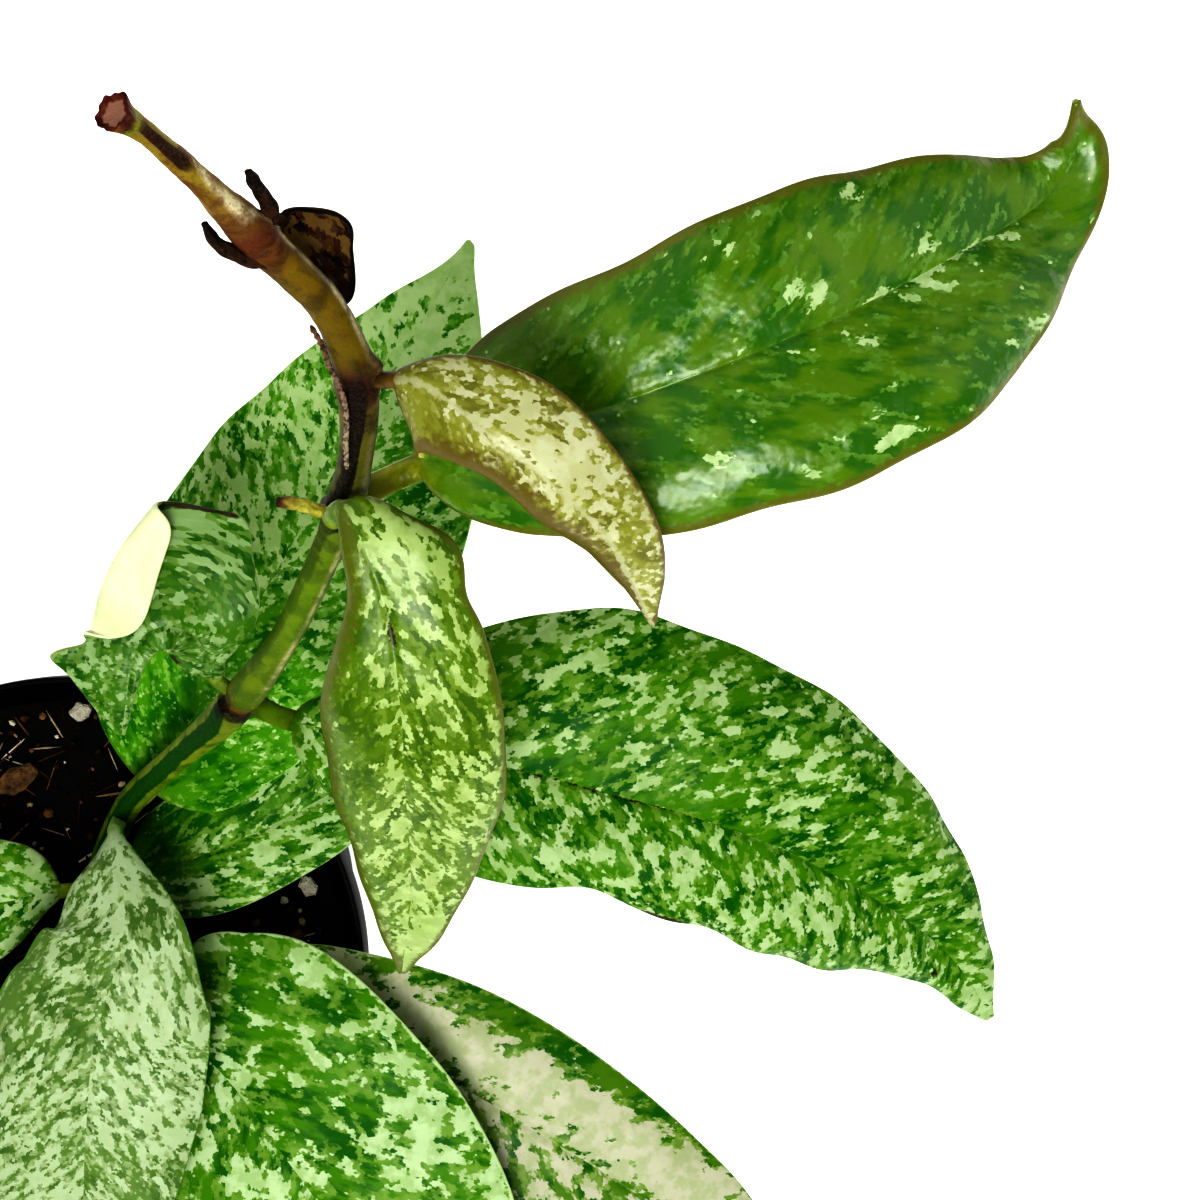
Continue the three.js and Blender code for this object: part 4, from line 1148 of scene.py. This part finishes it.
class HOYA_OT_add_soil(bpy.types.Operator):
    """Adds the crumbly potting mix and its loose crumbs and fibres"""
    bl_idname = "hoya.add_soil"
    bl_label = "Add soil"

    def execute(self, context):
        settings = context.scene.hoya_pot
        rings, side_rows = SOIL_RINGS, SOIL_SIDE_ROWS

        def place(u, w):
            row = np.round(w * (rings + side_rows)).astype(int)
            angle = math.tau * u
            inner = row <= rings
            radius = np.where(inner, SOIL_WALL * row / rings, SOIL_WALL)
            drop = np.clip((row - rings) / (side_rows - 1), 0, 1)
            radius = np.where(inner, radius, SOIL_WALL - drop * (SOIL_WALL - SOIL_FOOT))
            closing = row == rings + side_rows
            radius = np.where(closing, 0, radius)
            x, y = radius * np.cos(angle), radius * np.sin(angle)
            top = soil_height(x, y)
            spots = np.stack([x * SOIL_LUMP, y * SOIL_LUMP, np.full(len(x), 3.0)], -1)
            rough = np.array([noise.fractal(Vector(spot), 0.9, 2.1, 5) for spot in spots])
            fade = smoothstep(radius, SOIL_WALL, SOIL_WALL - 2)
            top = top + SOIL_ROUGHNESS * rough * np.where(inner, 0.3 + 0.7 * fade, 0)
            height = np.where(inner, top, SOIL_SHOULDER + (SOIL_FLOOR - SOIL_SHOULDER) * drop)
            height = np.where(closing, SOIL_FLOOR, height)
            return np.stack([x, y, height], -1), {}

        soil = finish_mesh(sheet_of_points("soil_plug", SOIL_COLUMNS, rings + side_rows, place), merge=1e-5)
        material = grain_material("Potting mix", settings.soil, colour("020202"), 0.004, 0.0007, 0.95,
                                  depth=0.0008)
        stand_for(soil, "soil", material)
        self.add_crumbs(settings.crumbs)
        return {"FINISHED"}

    def add_crumbs(self, count):
        """Loose crumbs and short fibres, one low mesh, sunk a little into the soil."""
        deselect()
        bpy.ops.mesh.primitive_ico_sphere_add(subdivisions=2, radius=1)
        seed_piece = bpy.context.object
        shape = np.array([v.co for v in seed_piece.data.vertices])
        faces = np.array([p.vertices[:] for p in seed_piece.data.polygons])
        bpy.data.objects.remove(seed_piece)
        draw, xs, ys = scatter(count)
        places, polygons, tones = [], [], []
        for i, (x, y) in enumerate(zip(xs, ys)):
            tone = draw.random() ** 0.75
            fibre = draw.random() < FIBRE_SHARE
            length = draw.uniform(*(FIBRE_LENGTHS if fibre else CRUMB_SIZES))
            if fibre:
                size = np.array([length, *draw.uniform(0.2, 0.5, 2)])
            else:
                size = length * draw.uniform(0.5, 1.0, 3)
            rough = 1 + 0.25 * draw.uniform(-1, 1, (len(shape), 1))
            body = shape * rough * size / 2
            yaw, pitch = draw.uniform(0, math.tau), draw.uniform(-0.12, 0.12)
            c, s = math.cos(pitch), math.sin(pitch)
            body = body @ np.array([[c, 0, s], [0, 1, 0], [-s, 0, c]])
            c, s = math.cos(yaw), math.sin(yaw)
            body = body @ np.array([[c, s, 0], [-s, c, 0], [0, 0, 1]])
            body = body + (x, y, soil_height(x, y) + 0.3 + 0.2 * size[2])
            reach = np.hypot(body[:, 0], body[:, 1]).max()
            if reach > SOIL_WALL + 0.6:
                continue
            polygons.append(faces + len(places) * len(shape))
            places.append(body)
            if fibre:
                tone = max(tone, 0.7 + 0.28 * draw.random())
            tones.append(np.full(len(shape), tone))
        mesh = bpy.data.meshes.new("soil_crumbs")
        mesh.from_pydata((np.vstack(places) * MM).tolist(), [], np.vstack(polygons).tolist())
        layer = mesh.attributes.new("tone", "FLOAT", "POINT")
        layer.data.foreach_set("value", np.concatenate(tones))
        crumbs = bpy.data.objects.new("soil_crumbs", mesh)
        bpy.context.scene.collection.objects.link(crumbs)
        finish_mesh(crumbs, angle=50, merge=1e-9)
        put_on(crumbs, crumb_material("Crumbs"))


class HOYA_OT_add_chips(bpy.types.Operator):
    """Refines the perlite and the bark chips that lie on the soil"""
    bl_idname = "hoya.add_chips"
    bl_label = "Add chips"

    def execute(self, context):
        settings = context.scene.hoya_pot
        perlite = grain_material("Perlite", settings.perlite, colour("9a9484"), 0.0012, FINE_GRAIN, 0.85)
        bark = grain_material("Bark", settings.bark, colour("2c1d10"), 0.0015, 0.0004, 0.9)
        finishes = {
            "perlite": (perlite, "perlite", 0.16, (900, 900, 900)),
            "bark_chip": (bark, "bark", 0.26, (350, 350, 2200)),
        }
        for node, source in sorted(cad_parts.items()):
            kind = node.rsplit("_", 1)[0]
            if kind not in finishes:
                continue
            material, slot, depth, scale = finishes[kind]
            chip = self.refined(source, node, depth, scale)
            stand_for(chip, node, material, slack=1.5)
        return {"FINISHED"}

    def refined(self, source, node, depth, scale):
        """A finer copy of a chip, pitted or layered by a noise of this depth and scale."""
        chip = bpy.data.objects.new(node + "_piece", source.data.copy())
        bpy.context.scene.collection.objects.link(chip)
        finish_mesh(chip, merge=1e-5)
        bpy.context.view_layer.objects.active = chip
        smooth = chip.modifiers.new("finer", "SUBSURF")
        smooth.subdivision_type = "SIMPLE"
        smooth.levels = smooth.render_levels = 3
        bpy.ops.object.modifier_apply(modifier=smooth.name)
        mesh = chip.data
        co = np.zeros(len(mesh.vertices) * 3)
        normals = np.zeros(len(mesh.vertices) * 3)
        mesh.vertices.foreach_get("co", co)
        mesh.vertices.foreach_get("normal", normals)
        co, normals = co.reshape(-1, 3), normals.reshape(-1, 3)
        push = np.array([noise.fractal(Vector(p * scale), 0.7, 2.2, 4) for p in co])
        co = co + normals * (push * depth * MM)[:, None]
        mesh.vertices.foreach_set("co", co.ravel())
        mesh.update()
        return finish_mesh(chip, merge=1e-9, angle=55)


# The stem's swollen joints, each with its row, its height and its reach.
JOINTS = [(8, 0.25, 1.6), (10, 0.3, 1.4), (12, 0.3, 1.4)]
# The collars past which the stem is thinner, each with its row, its drop and its reach.
COLLARS = [(5, 0.75, 5), (8, 0.35, 3), (12, 0.2, 2)]
# Its bud and scars, each with its row, the angle that it faces, its reach and its height.
BUMPS = [(10.3, 1.2, 0.9, 1.3), (7.6, -1.9, 1.5, 1.3), (12.1, 1.0, 0.8, 0.5)]
# The row at which the torn end starts to flare, and the tone of the torn wood.
TORN_ROW = 14.6
HEARTWOOD = "8e6a58"
SHOOT_COLOURS = [(0.0, "3c4a14", "20240c"), (0.6, "4c7010", "1a3808"), (1.0, "6a7c1c", "3a5010")]


class HOYA_OT_add_stems(bpy.types.Operator):
    """Adds the main stem with its joints and cut end, and the side shoot"""
    bl_idname = "hoya.add_stems"
    bl_label = "Add stems"

    def execute(self, context):
        route = Route(MAIN_STEM)
        rows = np.arange(len(route.shares))

        def share_at(row):
            return float(np.interp(row, rows, route.shares))

        def skin(share, angle, radius):
            """The stem's radius with its joints, collars, bumps, torn end, ridges and lumps."""
            place = share * route.length
            for row, height, reach in JOINTS:
                at = share_at(row) * route.length
                radius = radius + height * np.exp(-(((place - at) / reach) ** 2))
            for row, drop, reach in COLLARS:
                beyond = place - share_at(row) * route.length - 0.3 * np.cos(2 * angle)
                radius = radius - drop * smoothstep(beyond, -0.1, 0.25) * smoothstep(beyond, reach, 0.5)
            for row, face, reach, height in BUMPS:
                off = between(angle, face)
                along = place - share_at(row) * route.length
                radius = radius + height * np.exp(-((along / reach) ** 2) - (off / 0.45) ** 2)
            torn = smoothstep(share, share_at(TORN_ROW), 1)
            radius = radius + torn * (0.25 + 0.14 * np.sin(5 * angle + 1) + 0.1 * np.sin(11 * angle))
            ridges = 0.05 * (np.sin(5 * angle + place / 9) + np.sin(3 * angle - place / 6))
            pits = 0.04 * np.sin(place * 2.1 + 2 * np.sin(angle)) * np.sin(4 * angle + place)
            lumps = 0.06 * np.sin(place * 0.9 + 2 * angle) * np.sin(place * 0.37 + angle)
            return radius * (1 + 0.4 * ridges) + pits + lumps * smoothstep(share, 0.6, 0.8)

        stem = bar_piece("main_stem_skin", MAIN_STEM, 64, 520, skin, stem_paint(route), dome=-0.3)
        stops = [(share_at(row), *tones) for row, *tones in STEM_COLOURS]
        stand_for(stem, "main_stem", bar_material("Stem skin", stops, heart=HEARTWOOD))
        shoot = bar_piece("side_shoot_skin", SIDE_SHOOT, 40, 110)
        stand_for(shoot, "side_shoot", bar_material("Shoot skin", SHOOT_COLOURS))
        return {"FINISHED"}


# The columns and rows of the smaller leaves' meshes.
MESH_SIZES = {
    "leaf_small": (112, 150), "leaf_left": (112, 150), "leaf_low_right": (112, 150),
    "leaf_drooping": (112, 150), "dead_leaf": (64, 60),
}


class HOYA_OT_add_leaves(bpy.types.Operator):
    """Adds every leaf, living and dead, with its petiole"""
    bl_idname = "hoya.add_leaves"
    bl_label = "Add leaves"

    def execute(self, context):
        for name in LEAVES:
            piece = leaf_piece(name, *MESH_SIZES.get(name, (144, 190)))
            piece.name = piece.data.name = name + "_blade"
            stand_for(piece, name, leaf_material(name))
        return {"FINISHED"}


# The light and the dark tone at shares of a stalk's length.
DRY_COLOURS = [(0, "4a2a18", "1c0e08"), (1, "1c120c", "080504")]
STUB_COLOURS = [
    (0, "a29a30", "86801c"), (0.6, "b6b258", "908c34"), (0.88, "8a7430", "5e4418"), (1, "4a2c18", "2a140a"),
]
ROOTLET_COLOURS = [(0, "6a4c38", "3a241a"), (1, "aca08a", "5e4c3c")]


class HOYA_OT_add_stubs(bpy.types.Operator):
    """Adds the dry stubs, the flower stalk's stub and the rootlet on the stem"""
    bl_idname = "hoya.add_stubs"
    bl_label = "Add stubs"

    def execute(self, context):
        dry = bar_material("Dry stalk", DRY_COLOURS, 0.001, roughness=0.7)
        yellow = bar_material("Stalk stub", STUB_COLOURS, 0.0015)
        fibre = bar_material("Root fibre", ROOTLET_COLOURS, 0.0008, roughness=0.8)
        finishes = {"dry_petiole_right": dry, "dry_petiole_left": dry, "peduncle_stub": yellow}
        for node, material in finishes.items():
            piece = bar_piece(node + "_piece", STRANDS[node], 24, 60, self.wrinkled)
            stand_for(piece, node, material)
        rootlet = bar_piece("rootlet_piece", STRANDS["aerial_rootlet"], 16, 420, self.twisted)
        stand_for(rootlet, "aerial_rootlet", fibre, slack=1.5)
        return {"FINISHED"}

    @staticmethod
    def wrinkled(share, angle, radius):
        return radius * (1 + 0.12 * np.sin(3 * angle + 9 * share) + 0.08 * np.sin(7 * angle - 14 * share))

    @staticmethod
    def twisted(share, angle, radius):
        """Two plies wound round each other."""
        return radius * (1 + 0.3 * np.cos(2 * angle - 150 * share))


class HOYA_OT_set_stage(bpy.types.Operator):
    """Adds the pale floor, the soft lights and the camera that looks straight down"""
    bl_idname = "hoya.set_stage"
    bl_label = "Set stage"

    def execute(self, context):
        settings = context.scene.hoya_stage
        self.add_floor(settings)
        self.add_lights(settings)
        self.add_camera()
        return {"FINISHED"}

    def add_floor(self, settings):
        deselect()
        bpy.ops.mesh.primitive_plane_add(size=FLOOR_SIZE)
        floor = bpy.context.object
        floor.name = "floor"
        material, n, shader = new_material("Floor", 0.9, specular=0.1)
        tone = n.times(n.noise(object_place(n), 3.0, 2.0), 0.06)
        base = n.mix(tone, tuple(settings.floor), colour("d8d8d4"))
        n.tree.links.new(base, shader.inputs["Base Color"])
        # The floor glows a little: painted light that brightens it and washes out the shadows on it.
        shader.inputs["Emission Color"].default_value = (1, 1, 1, 1)
        shader.inputs["Emission Strength"].default_value = FLOOR_GLOW
        floor.data.materials.append(material)

    def add_lights(self, settings):
        for name, (offset, size, part) in SOFTBOXES.items():
            power = settings.key if name == "key" else settings.fill
            self.softbox(name, offset, size, power * part)
        world = bpy.data.worlds.new("Studio")
        bpy.context.scene.world = world
        world.use_nodes = True
        background = world.node_tree.nodes["Background"]
        background.inputs["Color"].default_value = ROOM_COLOUR
        background.inputs["Strength"].default_value = ROOM_STRENGTH
        view = bpy.context.scene.view_settings
        view.view_transform = VIEW_TRANSFORM
        view.look = VIEW_LOOK
        view.exposure = 0.0

    def softbox(self, name, offset, size, power):
        target = Vector(LIGHT_TARGET)
        light = bpy.data.lights.new(name, "AREA")
        light.shape = "SQUARE"
        light.size = size
        light.energy = power
        lamp = bpy.data.objects.new(name, light)
        lamp.location = target + Vector(offset)
        lamp.rotation_euler = (target - lamp.location).to_track_quat("-Z", "Y").to_euler()
        lamp.visible_camera = False
        bpy.context.scene.collection.objects.link(lamp)

    def add_camera(self):
        """A camera with the photo's field of view."""
        camera = bpy.data.cameras.new("camera")
        camera.sensor_width = SENSOR
        camera.lens = SENSOR * FOCAL_PIXELS / PHOTO_PIXELS
        camera.clip_start = 0.01
        camera.clip_end = 20
        holder = bpy.data.objects.new("camera", camera)
        holder.location = CAMERA_PLACE
        bpy.context.scene.collection.objects.link(holder)
        bpy.context.scene.camera = holder


class HOYA_PT_panel(bpy.types.Panel):
    """Lists the plant's settings and steps"""
    bl_idname = "HOYA_PT_panel"
    bl_label = "Splashed Hoya"
    bl_space_type = "VIEW_3D"
    bl_region_type = "UI"
    bl_category = "Hoya"

    def draw(self, context):
        layout = self.layout
        for group in SETTINGS:
            settings = getattr(context.scene, group)
            for label in settings.bl_rna.properties.keys():
                if label not in ("rna_type", "name"):
                    layout.prop(settings, label)
        for operator in OPERATORS:
            layout.operator(operator.bl_idname)


SETTINGS = {
    "hoya_pot": HoyaPotSettings,
    "hoya_leaf": HoyaLeafSettings,
    "hoya_stem": HoyaStemSettings,
    "hoya_stage": HoyaStageSettings,
}
OPERATORS = [
    HOYA_OT_add_pot, HOYA_OT_add_soil, HOYA_OT_add_chips, HOYA_OT_add_stems, HOYA_OT_add_leaves,
    HOYA_OT_add_stubs, HOYA_OT_set_stage,
]


def register():
    for item in [*SETTINGS.values(), *OPERATORS, HOYA_PT_panel]:
        bpy.utils.register_class(item)
    for name, group in SETTINGS.items():
        setattr(bpy.types.Scene, name, bpy.props.PointerProperty(type=group))


def unregister():
    for name in SETTINGS:
        delattr(bpy.types.Scene, name)
    for item in reversed([*SETTINGS.values(), *OPERATORS, HOYA_PT_panel]):
        bpy.utils.unregister_class(item)


def main():
    register()
    bpy.ops.hoya.set_stage()
    bpy.ops.hoya.add_pot()
    bpy.ops.hoya.add_soil()
    bpy.ops.hoya.add_chips()
    bpy.ops.hoya.add_stems()
    bpy.ops.hoya.add_leaves()
    bpy.ops.hoya.add_stubs()


if __name__ == "__main__":
    main()
